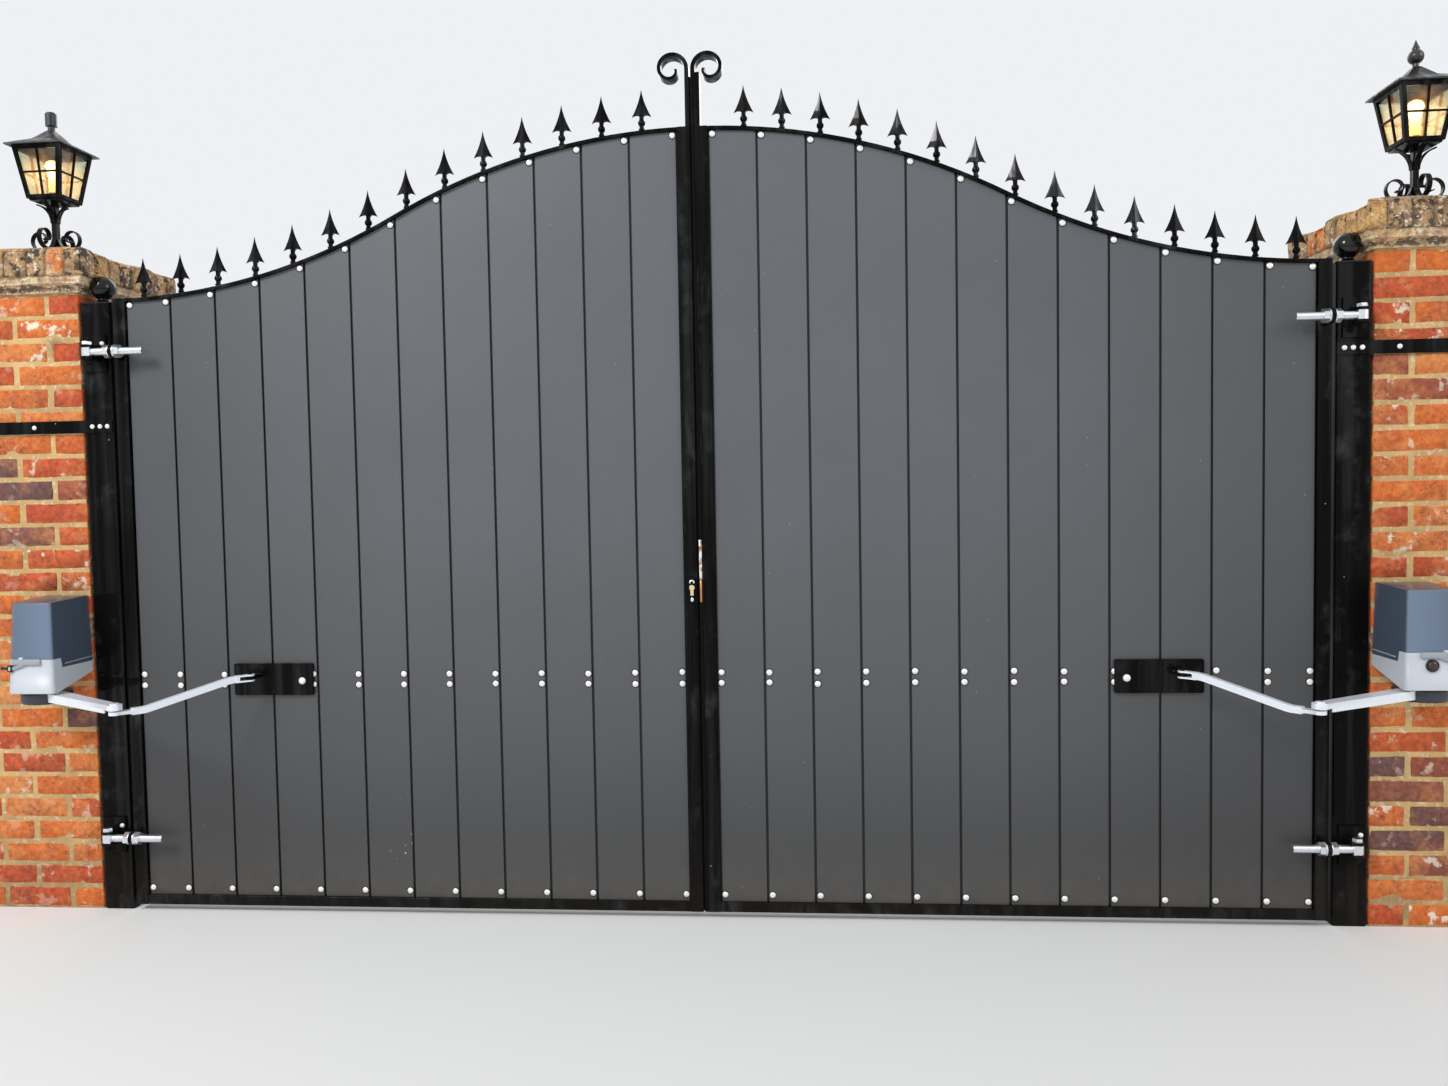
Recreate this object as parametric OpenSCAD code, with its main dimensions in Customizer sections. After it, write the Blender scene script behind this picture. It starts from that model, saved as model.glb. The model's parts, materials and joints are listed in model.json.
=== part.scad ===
/* [Leaves] */
// Gap between the two meeting stiles
meeting_gap = 15; // [12:1:20]
// Boards in each leaf
board_count = 12; // [8:1:14]
// Distance from one board joint to the next
board_pitch = 150; // [120:1:160]
// Thickness of the boards
board_t = 20; // [16:1:24]
// Width of the open joint between two boards
joint_w = 7; // [4:0.5:8]
// Depth of the tongue that closes each joint
tongue_depth = 7; // [5:0.5:8]
// Chamfer along the long edges of the boards
board_chamfer = 1.5; // [0.5:0.5:3]
// Width of the stiles, seen from the front
stile_w = 40; // [30:1:50]
// Depth of the leaf frame, front to back
frame_d = 50; // [40:1:60]
// How far the frame stands in front of the boards
frame_proud = 10; // [5:1:15]
// Corner radius of the stiles
stile_r = 3; // [1:0.5:5]
// Gap under the leaves
ground_gap = 20; // [10:1:60]
// Height of the ledge of the bottom rail
ledge_h = 32; // [20:1:45]
// Height of the bottom and top rails behind the boards
rail_h = 72; // [50:1:90]
// Thickness of the rim that runs over the board tops
rim_t = 11; // [6:1:16]
// Height of the middle rail
mid_rail_h = 70; // [50:1:100]
// Middle of the middle rail above the ground
mid_rail_z = 763; // [600:1:900]

// Gap left beside the stop bar between the two meeting stiles
stop_gap = 5.5; // [5:0.5:8]

/* [Arched top] */
// Top of the leaf at the hinge stile, above the top of the post
arch_over_post = 12; // [0:1:40]
// Rise of the top from the hinge stile to the middle
arch_rise = 465; // [300:1:550]

/* [Railheads] */
// Railheads on the left leaf
heads_left = 14; // [8:1:15]
// Railheads on the right leaf
heads_right = 15; // [8:1:15]
// First railhead from the middle of the gate
head_first = 158; // [110:1:200]
// Distance from the last railhead to the hinge edge of the leaf
head_last = 95; // [60:1:150]
// Height of the spear
spear_h = 94; // [70:1:110]
// Width over the two long barbs
spear_w = 72; // [50:1:80]
// Depth of the spear as a share of its width
spear_flat = 0.45; // [0.3:0.05:1]
// Hollow of the spear's long edges
spear_hollow = 2.2; // [1:0.1:3]
// Height of the turned stem under the spear
stem_h = 38; // [30:1:60]
// Diameter of the stem
stem_d = 14; // [10:1:18]
// Diameter of the ball on the stem
stem_ball_d = 23; // [20:1:28]

/* [Centre scrolls] */
// Thickness of the scroll bars
scroll_t = 13; // [8:1:14]
// Depth of the scroll bars, front to back
scroll_d = 44; // [25:1:46]
// Top of the scrolls above the crown of the gate
scroll_up = 225; // [180:1:320]
// Radius of the scroll where it leaves the bar
scroll_r = 48; // [36:1:52]
// Radius of the scroll at its tip
scroll_eye_r = 14; // [10:1:18]
// Thickness of the scroll at its tip
scroll_tip_t = 9; // [4:0.5:12]
// Width of the short bar beside the right scroll bar
stop_w = 14; // [8:1:20]

/* [Posts] */
// Gap between a closed leaf and its post
hinge_gap = 16; // [10:1:30]
// Width of the square posts
post_w = 100; // [80:1:120]
// Corner radius of the posts
post_r = 8; // [4:1:12]
// Top of the post under the top of the brickwork
post_under_pier = 37; // [0:1:80]
// Thickness of the plate on the post
post_plate_t = 5; // [3:1:10]
// Diameter of the ball on the post
post_ball_d = 78; // [60:1:90]
// Room left round the ball in the stones of the pier
ball_room = 6; // [3:1:15]
// Height of the flared neck under the ball
neck_h = 20; // [12:1:30]
// Diameter of the foot of the flared neck
neck_d = 66; // [50:1:80]

/* [Hinges] */
// Height of the lower hinges
hinge_low_z = 251; // [180:1:400]
// Upper hinges under the top of the post
hinge_drop = 161; // [110:1:220]
// Distance of the hinge pins in front of the posts
pin_stand = 45; // [40:1:60]
// Diameter of the hinge pins
pin_d = 16; // [12:1:20]
// Clearance round a pin in its eye
pin_fit = 0.3; // [0.2:0.05:0.5]
// Clearance between an eye and the lugs over and under it
eye_fit = 1; // [0.5:0.5:2]
// Diameter of the threaded rods
rod_d = 24; // [18:1:26]
// Reach of the threaded rods from the hinge pins
rod_len = 187; // [170:1:220]
// Size of the eye block on the rod
eye_d = 34; // [30:1:38]
// Height of the eye block
eye_h = 27; // [24:1:32]
// Width of the hexagon nuts on the rods
nut_w = 36; // [32:1:40]
// Thickness of the hexagon nuts
nut_t = 16; // [12:1:20]
// Diameter of the washers
washer_d = 42; // [40:1:46]
// Thickness of the washers
washer_t = 4; // [2:0.5:6]
// Thickness of the lug welded to the hinge stile
lug_t = 12; // [8:1:16]
// Radius of the rounded end of the lug
lug_r = 22; // [20:1:28]
// Width of the bracket plates on the posts
bracket_w = 72; // [60:1:84]
// Height of the bracket plates on the posts
bracket_h = 118; // [100:1:124]
// Thickness of the bracket plates and their lugs
bracket_t = 8; // [6:1:10]

/* [Piers] */
// Width and depth of the brick piers
pier_w = 450; // [330:1:560]
// Gap between post and pier
pier_gap = 5; // [2:1:15]
// Height of one course of bricks with its joint
course_h = 75; // [65:1:80]
// Courses in a pier
courses = 27; // [26:1:29]
// Height of the moulded course under the cap
cornice_h = 50; // [35:1:70]
// Overhang of the moulded course
cornice_out = 36; // [25:1:60]
// Thickness of the capstone
cap_t = 132; // [100:1:150]
// Overhang of the capstone
cap_out = 47; // [30:1:80]
// Fall of the capstone's top to its edge
cap_fall = 40; // [20:1:50]
// Cut of the capstone's corners
cap_corner = 26; // [10:1:40]

/* [Straps] */
// Left strap under the top of the brickwork
strap_left_drop = 433; // [420:1:700]
// Right strap under the top of the brickwork
strap_right_drop = 287; // [285:1:700]
// Width of the straps
strap_h = 40; // [30:1:44]
// Thickness of the straps
strap_t = 6; // [4:1:8]
// Length of the strap round the outer corner of the pier
strap_return = 150; // [100:1:300]

/* [Openers] */
// Width of an opener housing
opener_w = 168; // [150:1:180]
// Depth of an opener housing
opener_d = 194; // [180:1:220]
// Underside of the housing above the ground
opener_z = 752; // [700:1:800]
// Height of the base at its front
base_h = 107; // [95:1:125]
// Height of the whole housing
opener_h = 291; // [260:1:320]
// Inward slope of the cover from bottom to top
cover_taper = 10; // [4:1:16]
// Height of the step in the top edge of the base
base_step = 30; // [20:1:40]
// Depth of the base's front, which stands up to its full height
base_front_d = 48; // [36:1:60]
// Depth of the level edge under the front of the base
base_toe = 18; // [10:1:30]
// Cut of the housing's outer front corner
housing_cut = 30; // [16:1:40]
// Rise of the underside from front to wall
base_rise = 43; // [30:1:50]
// Distance of the output shaft from the pier
shaft_y = 110; // [100:1:120]
// Diameter of the output shaft
shaft_d = 30; // [24:1:34]
// How far the output shaft reaches up into the base
shaft_in = 26; // [20:1:30]
// How far the output shaft stands below the drum
shaft_below = 4; // [2:1:8]
// Diameter of the output drum
drum_d = 145; // [120:1:150]
// Height of the output drum
drum_h = 34; // [30:1:40]

/* [Arms] */
// Length of the channel arm between its pivots
drive_len = 445; // [420:1:460]
// Angle of the channel arm from the gate when closed
drive_angle = 31.4; // [28:0.1:34]
// Width of the channel arm at the drum
drive_root_w = 60; // [50:1:70]
// Width of the channel arm at the elbow
drive_tip_w = 38; // [34:1:46]
// Height of the channel arm
drive_h = 26; // [20:1:30]
// Height cut from under the tip of the channel arm
tip_cut = 10; // [8:1:12]
// Wall of the channel arm
drive_wall = 4; // [3:0.5:6]
// Clearance between moving pieces that pass each other
pass_gap = 5; // [5:0.5:8]
// Diameter of the curved arm's tube
tube_d = 20; // [16:1:24]
// Radius of the bends in the curved arm
tube_bend_r = 120; // [80:1:160]
// Level stretch of the curved arm from the elbow
tube_level = 66; // [62:1:80]
// Length of the curved arm's flat end at the elbow
flat_len = 50; // [46:1:58]
// Thickness of the lug on the leaf bracket and of the flat end at the elbow
tang_t = 10; // [8:1:14]
// Width of the leaf bracket
plate_w = 264; // [220:1:290]
// Height of the leaf bracket
plate_h = 103; // [90:1:120]
// Thickness of the leaf bracket
plate_t = 10; // [6:1:12]
// Middle of the leaf bracket above the ground
plate_z = 765; // [740:1:790]
// Middle of the leaf bracket from the hinge edge of the leaf
plate_from_hinge = 496; // [450:1:540]
// Arm pivot from the middle of the leaf bracket
clevis_shift = 52; // [40:1:70]
// Arm pivot in front of the boards
clevis_y = 60; // [50:1:70]
// Height of the arm pivot above the middle of the leaf bracket
clevis_up = 14; // [5:1:20]
// Thickness of each blade of the arm's fork
ear_t = 5; // [4:1:8]
// Radius of the rounded ends of the fork and the lug
ear_r = 14; // [11:1:18]
// Diameter of the arm pivot
arm_pin_d = 12; // [10:1:14]

/* [Lock] */
// Height of the lock cylinder
lock_z = 1048; // [900:1:1100]
// Length of the lock's edge plate
lock_plate_h = 190; // [160:1:280]
// Width of the lock's edge plate
lock_plate_w = 20; // [16:1:24]
// Thickness of the lock's edge plate
lock_plate_t = 4; // [3:0.5:6]
// Reach of the edge plate below the lock cylinder's middle
lock_plate_below = 40; // [30:1:60]
// Radius of the round part of the lock cylinder
cylinder_r = 8.5; // [8:0.5:9]
// Height of the lock cylinder's outline
cylinder_h = 33; // [30:1:36]
// Width of the narrow part of the lock cylinder
cylinder_w = 10; // [8:1:12]

/* [Lanterns] */
// Width of the lantern's glazed body at its foot
body_low_w = 118; // [100:1:140]
// Width of the lantern's glazed body at its top
body_high_w = 171; // [150:1:190]
// Height of the glazed body
body_h = 170; // [150:1:220]
// Height of the stand under the body
stand_h = 175; // [160:1:220]
// Width of the square stem of the stand
lantern_stem_w = 18; // [14:1:24]
// Width of the flat bars of the stand
foot_w = 16; // [10:1:20]
// Thickness of the flat bars of the stand
foot_t = 5; // [3:0.5:6]
// Turn of the scrolled feet, in degrees
foot_turn = 470; // [360:10:540]
// Radius of the scrolled feet
foot_r = 44; // [36:1:50]
// Width of the lantern's corner bars
corner_w = 14; // [10:1:18]
// Width of the glazing bars
glazing_w = 5; // [3:0.5:8]
// Wall of the lantern's frame
cage_t = 7; // [5:0.5:10]
// Thickness of the glass
glass_t = 2; // [1.5:0.5:3]
// Width of the lantern's roof
roof_w = 203; // [195:1:240]
// Height of the lantern's roof
roof_h = 70; // [40:1:90]
// Thickness of the roof's eaves
eave_t = 5; // [3:1:8]
// Diameter of the knob on the roof
finial_d = 46; // [30:1:56]
// Diameter of the bulb
bulb_d = 50; // [30:1:60]
// Height of the lamp holder under the bulb
holder_h = 26; // [10:1:40]

/* [Hidden] */
$fn = 64;
arc_fn = 360;
far = 10000;

// Clearance between pieces that are seated on each other
fit = 0.3;

// Places across the gate, measured from its middle
leaf_in = meeting_gap / 2;
board_in = leaf_in + stile_w;
board_out = board_in + board_count * board_pitch;
leaf_out = board_out + stile_w;
leaf_w = leaf_out - leaf_in;
post_in = leaf_out + hinge_gap;
post_x = post_in + post_w / 2;
pier_in = post_in + post_w + pier_gap;
pier_x = pier_in + pier_w / 2;

// Places from front to back: the board faces, the posts and the piers share the plane y = 0
frame_front = -frame_proud;
frame_back = frame_front + frame_d;
pin_y = -pin_stand;

// Heights: the piers are built in courses, and the posts and leaves end beside their top
board_low = ground_gap + ledge_h + fit;
pier_h = courses * course_h;
post_h = pier_h - post_under_pier;
arch_low = post_h + arch_over_post;
hinge_high_z = post_h - hinge_drop;
cap_low = pier_h + cornice_h;
cap_high = cap_low + cap_t;
body_low = cap_high + stand_h;
body_high = body_low + body_h;
arch_high = arch_low + arch_rise;
scroll_top = arch_high + scroll_up;

// The top of a leaf is two equal arcs that meet halfway, level at both ends
arch_r = (leaf_w * leaf_w + arch_rise * arch_rise) / (4 * arch_rise);
crown_centre = [leaf_in, arch_high - arch_r];
sag_centre = [leaf_out, arch_low + arch_r];
arc_meet = crown_centre + (sag_centre - crown_centre) * 0.55;

function arch_z(x) = x - leaf_in < leaf_w / 2
    ? crown_centre[1] + sqrt(pow(arch_r, 2) - pow(x - leaf_in, 2))
    : sag_centre[1] - sqrt(pow(arch_r, 2) - pow(leaf_out - x, 2));

// Opener places
opener_x = pier_in + opener_w / 2;
drum_high = opener_z - pass_gap;
drive_low = drum_high - drive_h;
shaft_at = [opener_x, -shaft_y];
elbow_at = shaft_at + drive_len * [-cos(drive_angle), -sin(drive_angle)];
plate_x = leaf_out - plate_from_hinge;
clevis_at = [plate_x + clevis_shift, -clevis_y];
clevis_z = plate_z + clevis_up;
arm_run = norm(clevis_at - elbow_at);
arm_angle = atan2(clevis_at[1] - elbow_at[1], clevis_at[0] - elbow_at[0]);
tube_z = drive_low + tip_cut - pass_gap - tang_t / 2;

// Moves a piece from the middle of the gate to the foot of the left post, where the origin lies
module placed() { translate([post_x, -post_w / 2, 0]) children(); }
module right() { placed() children(); }
module left() { placed() mirror([1, 0, 0]) children(); }

// Flat outlines stood up: seen from the front, or from the side
module from_front(y0, y1) { translate([0, y1, 0]) rotate([90, 0, 0]) linear_extrude(y1 - y0) children(); }
module from_side(x0, x1) { translate([x0, 0, 0]) rotate([90, 0, 90]) linear_extrude(x1 - x0) children(); }

module rounded(x0, y0, x1, y1, r) {
    translate([x0 + r, y0]) square([x1 - x0 - 2 * r, y1 - y0]);
    translate([x0, y0 + r]) square([x1 - x0, y1 - y0 - 2 * r]);
    for (x = [x0 + r, x1 - r], y = [y0 + r, y1 - r]) translate([x, y]) circle(r, $fn = 32);
}

// The same outline on all four sides of a square piece, mitred at the corners
module four_sided(half) {
    intersection() {
        from_front(-half, half) children();
        from_side(-half, half) children();
    }
}

// A bar along a curve given by its angle, with the thickness changing from one end to the other
function curl_r(a, r0, r1, turn, power) = r0 - (r0 - r1) * pow(a / turn, power);
function curl(r0, r1, t0, t1, turn, power, side) = [
    for (i = [0:48]) let (a = turn * i / 48, r = curl_r(a, r0, r1, turn, power) + side * (t0 + (t1 - t0) * i / 48) / 2)
        [-r * cos(a), r * sin(a)]
];
module scroll_outline(r0, r1, t0, t1, turn, power) {
    inner = curl(r0, r1, t0, t1, turn, power, -1);
    outer = curl(r0, r1, t0, t1, turn, power, 1);
    polygon(concat(outer, [for (i = [len(inner) - 1:-1:0]) inner[i]]));
}

// Everything on a leaf that lies below its arched top, lowered square to the arch by drop
module under_arch(drop) {
    a = leaf_in - 20;
    b = leaf_out + 20;
    intersection() {
        polygon([crown_centre, arc_meet, [arc_meet[0], far], [a, far], [a, crown_centre[1]]]);
        translate(crown_centre) circle(arch_r - drop, $fn = arc_fn);
    }
    difference() {
        polygon([
            [a, 0], [b, 0], [b, arch_high], [arc_meet[0], arch_high], arc_meet, crown_centre,
            [a, crown_centre[1]]
        ]);
        translate(sag_centre) circle(arch_r + drop, $fn = arc_fn);
    }
}

module stile(x0) {
    intersection() {
        translate([0, 0, ground_gap]) linear_extrude(far)
            rounded(x0, frame_front, x0 + stile_w, frame_back, stile_r);
        from_front(frame_front - 1, frame_back + 1) intersection() {
            under_arch(0);
            translate([x0 - 1, 0]) square([stile_w + 2, far]);
        }
    }
}
// Groove in a stile for the tongue of the board beside it
module board_groove(x0) {
    w = tongue_reach + fit;
    intersection() {
        translate([x0 - w, tongue_depth - fit, board_low - fit]) cube([2 * w, tongue_w + 2 * fit, far]);
        from_front(0, board_t) under_arch(rim_t);
    }
}
module hinge_stile() {
    color("black") {
        difference() {
            stile(board_out);
            board_groove(board_out);
        }
        at_hinges() hinge_lug();
    }
}
module meeting_stile() {
    difference() {
        stile(leaf_in);
        board_groove(board_in);
    }
}
// The stop bar closes the gap between the two meeting stiles, and carries the right scroll
stop_bar_w = meeting_gap - stop_gap;
module meeting_stile_with_stop() {
    color("black") {
        meeting_stile();
        translate([leaf_in - stop_bar_w, frame_front + 2, ground_gap])
            cube([stop_bar_w + 1, frame_d - 2, arch_high - ground_gap - 2]);
    }
}
module meeting_stile_with_lock() {
    color("black") difference() {
        meeting_stile();
        translate([0, frame_front - 1, 0]) cylinder_cut(fit, frame_d + 2);
        lock_plate(fit);
    }
}

module bottom_rail() {
    color("black") from_side(board_in, board_out) polygon([
        [frame_front, ground_gap], [frame_back, ground_gap], [frame_back, ground_gap + rail_h],
        [board_t + fit, ground_gap + rail_h], [board_t + fit, ground_gap + ledge_h],
        [frame_front, ground_gap + ledge_h]
    ]);
}

module middle_rail() {
    color("black") from_side(board_in, board_out)
        rounded(board_t + fit, mid_rail_z - mid_rail_h / 2, frame_back, mid_rail_z + mid_rail_h / 2, stile_r);
}

module between_stiles(reach) {
    intersection() {
        children();
        translate([board_in - reach, 0]) square([board_out - board_in + 2 * reach, far]);
    }
}
module arch_band(high, low) {
    between_stiles(0) difference() {
        under_arch(high);
        under_arch(low);
    }
}
module top_rail() {
    color("black") {
        from_front(frame_front, frame_back) arch_band(0, rim_t);
        from_front(board_t + fit, frame_back) arch_band(rim_t, rail_h);
    }
}

// Plan of one board: chamfered long edges, a tongue on one edge and a slot on the other; the first board has two
// tongues, and the outermost tongues sit in the stiles
tongue_w = board_t - 2 * tongue_depth;
tongue_reach = 8;
module tongue(x, reach) { translate([min(x, x + reach), tongue_depth]) square([abs(reach), tongue_w]); }
module board_plan(x0, is_first, is_last) {
    a = x0 + joint_w / 2;
    b = x0 + board_pitch - joint_w / 2;
    c = board_chamfer;
    difference() {
        union() {
            polygon([[a + c, 0], [b - c, 0], [b, c], [b, board_t - c], [b - c, board_t], [a + c, board_t],
                [a, board_t - c], [a, c]]);
            tongue(b - 1, 1 + tongue_reach + (is_last ? joint_w / 2 : joint_w));
            if (is_first) tongue(a + 1, -1 - tongue_reach - joint_w / 2);
        }
        if (!is_first) translate([a - 1, tongue_depth - fit])
            square([1 + tongue_reach + 2 * fit, tongue_w + 2 * fit]);
    }
}
module boards() {
    color("dimgray") intersection() {
        translate([0, 0, board_low]) linear_extrude(far)
            for (i = [0:board_count - 1])
                board_plan(board_in + i * board_pitch, i == 0, i == board_count - 1);
        from_front(-1, board_t + 1) between_stiles(tongue_reach) under_arch(rim_t + fit);
    }
}

// A spear is two crossed blades of one hollow-sided outline, so it has two long and two short barbs
spear_cross = atan(spear_flat);
barb = spear_w / 2 * sin(spear_cross);
module spear_outline() {
    chord = norm([barb, spear_h]);
    r = (chord * chord / 4 + spear_hollow * spear_hollow) / (2 * spear_hollow);
    lean = atan2(barb, spear_h);
    reach = r - spear_hollow;
    difference() {
        polygon([[-barb, 0], [barb, 0], [0, spear_h]]);
        for (m = [-1, 1]) translate([m * (barb / 2 + reach * cos(lean)), spear_h / 2 + reach * sin(lean)])
            circle(r, $fn = arc_fn);
        circle(barb);
    }
}
module spear() {
    intersection_for (m = [-1, 1])
        rotate([0, 0, m * spear_cross]) from_side(-spear_w, spear_w) spear_outline();
}
module stem() {
    ball = stem_ball_d / 2;
    rotate_extrude() {
        translate([0, -stem_h / 3]) square([stem_d / 2, stem_h * 4 / 3 + barb + stem_d / 4]);
        translate([0, stem_h - ball * 0.8]) intersection() {
            circle(ball);
            translate([0, -ball]) square([ball, 2 * ball]);
        }
        translate([0, stem_h / 6]) square([stem_d * 0.68, stem_d * 0.3]);
    }
}
module railheads(count) {
    span = leaf_out - head_last - head_first;
    color("black") difference() {
        for (i = [0:count - 1]) {
            x = head_first + span * i / (count - 1);
            translate([x, (frame_front + frame_back) / 2, arch_z(x)]) {
                stem();
                translate([0, 0, stem_h]) spear();
            }
        }
        from_front(frame_front - 1, frame_back + 1) under_arch(-0.2);
    }
}

// Height of the centre of a scroll's curl
curl_z = scroll_top - curl_r(90, scroll_r, scroll_eye_r, 360, 1.6) - (scroll_t * 3 + scroll_tip_t) / 8;
module scroll_bar(x0) {
    y0 = frame_front + 2;
    translate([x0, y0, arch_high - 12]) cube([scroll_t, scroll_d, curl_z - arch_high + 12]);
    translate([x0 + scroll_t / 2 + scroll_r, 0, curl_z]) from_front(y0, y0 + scroll_d)
        scroll_outline(scroll_r, scroll_eye_r, scroll_t, scroll_tip_t, 360, 1.6);
}
module left_scroll_shape() {
    color("black") difference() {
        scroll_bar(leaf_in);
        from_front(frame_front - 1, frame_back + 1) under_arch(-0.2);
    }
}
module right_scroll_shape() {
    scroll_x = leaf_in - stop_bar_w;
    color("black") difference() {
        union() {
            scroll_bar(scroll_x);
            translate([scroll_x + scroll_t, frame_front + 2, arch_high - 12])
                cube([stop_w, scroll_d, curl_z - arch_high]);
        }
        from_front(frame_front - 1, frame_back + 1) under_arch(-0.2);
        translate([-far + leaf_in, -far / 2, -far + arch_high + 0.2]) cube([far, far, far]);
    }
}

plate_proud = 0.4;
module lock_plate(grow) {
    y0 = (frame_front + frame_back - lock_plate_w) / 2;
    translate([leaf_in - plate_proud - grow, y0 - grow, lock_z - lock_plate_below - grow])
        cube([lock_plate_t + 2 * grow, lock_plate_w + 2 * grow, lock_plate_h + 2 * grow]);
}
module cylinder_cut(grow, depth) {
    translate([leaf_in + stile_w / 2 - 2, depth, lock_z]) rotate([90, 0, 0]) linear_extrude(depth) {
        circle(cylinder_r + grow);
        translate([-cylinder_w / 2 - grow, cylinder_r - cylinder_h - grow])
            square([cylinder_w + 2 * grow, cylinder_h - cylinder_r + grow]);
    }
}
module lock_shape() {
    color("goldenrod") {
        translate([0, frame_front - 3, 0]) cylinder_cut(0, frame_d + 6);
        lock_plate(0);
    }
}

module at_hinges() { for (z = [hinge_low_z, hinge_high_z]) translate([post_x, pin_y, z]) children(); }

lug_low = -eye_h / 2 - eye_fit - bracket_t;
module bracket_lug() {
    linear_extrude(bracket_t) difference() {
        union() {
            circle(eye_d / 2 + 3);
            translate([-eye_d / 2 - 3, 0]) square([eye_d + 6, pin_stand]);
        }
        circle(pin_d / 2 + 0.1);
    }
}
module hinge_pin() {
    grip = eye_h + 2 * eye_fit + 2 * bracket_t;
    translate([0, 0, lug_low - 18]) cylinder(d = pin_d, h = grip + 19);
    translate([0, 0, lug_low + grip]) cylinder(d = pin_d * 1.6, h = 10, $fn = 6);
    translate([0, 0, lug_low - 13]) cylinder(d = pin_d * 1.6, h = 13, $fn = 6);
}
module hinge_brackets() {
    color("black") at_hinges() {
        translate([-bracket_w / 2, pin_stand - bracket_t, -bracket_h / 2]) cube([bracket_w, bracket_t, bracket_h]);
        for (z = [lug_low, -lug_low - bracket_t]) translate([0, 0, z]) bracket_lug();
        hinge_pin();
    }
}

// Threaded rod with its eye, two nuts and two washers, gripped in the lug on the hinge stile
lug_at = leaf_out - stile_w / 2 - post_x;
module hinge_eye() {
    difference() {
        union() {
            translate([0, 0, -eye_h / 2]) cylinder(d = eye_d, h = eye_h);
            translate([-eye_d / 2, -eye_d / 2 + 1, -eye_h / 2]) cube([eye_d / 2, eye_d - 2, eye_h]);
            translate([-rod_len, 0, 0]) rotate([0, 90, 0]) cylinder(d = rod_d, h = rod_len - eye_d / 2 + 2);
            for (s = [-1, 1]) translate([lug_at, 0, 0]) mirror([s < 0 ? 1 : 0, 0, 0]) rotate([0, 90, 0]) {
                translate([0, 0, lug_t / 2]) cylinder(d = washer_d, h = washer_t);
                translate([0, 0, lug_t / 2 + washer_t]) cylinder(d = nut_w / cos(30), h = nut_t, $fn = 6);
            }
        }
        translate([0, 0, -eye_h]) cylinder(d = pin_d + 2 * pin_fit, h = 2 * eye_h);
    }
}
module hinge_lug() {
    reach = pin_stand + frame_front + 1;
    translate([lug_at - lug_t / 2, 0, 0]) rotate([90, 0, 90]) linear_extrude(lug_t) difference() {
        union() {
            circle(lug_r);
            translate([0, -lug_r]) square([reach, 2 * lug_r]);
        }
        circle(rod_d / 2 + 0.1);
    }
}
module hinge_eyes() {
    color("silver") at_hinges() hinge_eye();
}

module post() {
    color("black") linear_extrude(post_h) rounded(post_in, 0, post_in + post_w, post_w, post_r);
}
ball_z = post_plate_t + neck_h + sqrt(pow(post_ball_d / 2, 2) - pow(neck_d / 4, 2)) - 3;
// Hollow in the stones of the pier that makes room for the ball
module ball_hollow() {
    r = post_ball_d / 2 + ball_room;
    translate([post_x, post_w / 2, post_h + ball_z]) rotate_extrude() {
        intersection() {
            circle(r);
            square([r, r]);
        }
        translate([0, -ball_z - 1]) square([r, ball_z + 1]);
    }
}
module post_finial() {
    color("black") translate([post_x, post_w / 2, post_h]) {
        linear_extrude(post_plate_t)
            rounded(-post_w / 2 - 2, -post_w / 2 - 2, post_w / 2 + 2, post_w / 2 + 2, post_r);
        rotate_extrude() {
            difference() {
                translate([0, post_plate_t]) square([neck_d / 2, neck_h]);
                translate([neck_d / 2, post_plate_t + neck_h]) circle(min(neck_d / 4, neck_h));
            }
            intersection() {
                translate([0, ball_z]) circle(post_ball_d / 2);
                translate([0, 0]) square([post_ball_d, 2 * post_ball_d]);
            }
        }
    }
}

module strap(z) {
    color("black") translate([0, 0, z - strap_h / 2]) {
        translate([post_in + 3, -strap_t, 0]) cube([pier_in + pier_w + strap_t - post_in - 3, strap_t, strap_h]);
        translate([pier_in + pier_w, -strap_t, 0]) cube([strap_t, strap_return, strap_h]);
    }
}

module pier() {
    color("firebrick") translate([pier_in, 0, 0]) cube([pier_w, pier_w, pier_h]);
}

// Height and overhang of the moulded course: a fillet, a hollow, a swelling and a top fillet
module cornice_profile() {
    w = pier_w / 2;
    o = cornice_out;
    h = cornice_h;
    steps = 8;
    hollow = [for (i = [0:steps]) let (a = 90 * i / steps) [w + o * (0.30 + 0.32 * (1 - cos(a))), h * (0.16 + 0.34 * sin(a))]];
    swell = [for (i = [1:steps]) let (a = 90 * i / steps) [w + o * (0.62 + 0.38 * sin(a)), h * (0.50 + 0.34 * (1 - cos(a)))]];
    half = concat([[w + o * 0.30, 0]], hollow, swell, [[w + o, h]]);
    polygon(concat(half, [for (i = [len(half) - 1:-1:0]) [-half[i][0], half[i][1]]]));
}
module pier_cornice() {
    color("tan") difference() {
        translate([pier_x, pier_w / 2, pier_h]) four_sided(pier_w) cornice_profile();
        ball_hollow();
    }
}
module cap_profile() {
    w = pier_w / 2 + cap_out;
    seat = roof_w / 2;
    half = [[w - 6, 0], [w, 6], [w, cap_t - cap_fall - 8], [w - 8, cap_t - cap_fall], [seat, cap_t]];
    polygon(concat(half, [for (i = [len(half) - 1:-1:0]) [-half[i][0], half[i][1]]]));
}
cap_corners = (pier_w + 2 * cap_out - cap_corner) * sqrt(2);
module pier_cap() {
    color("tan") difference() {
        translate([pier_x, pier_w / 2, cap_low]) intersection() {
            four_sided(pier_w) cap_profile();
            linear_extrude(cap_t) rotate([0, 0, 45]) square(cap_corners, center = true);
        }
        ball_hollow();
    }
}

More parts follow.
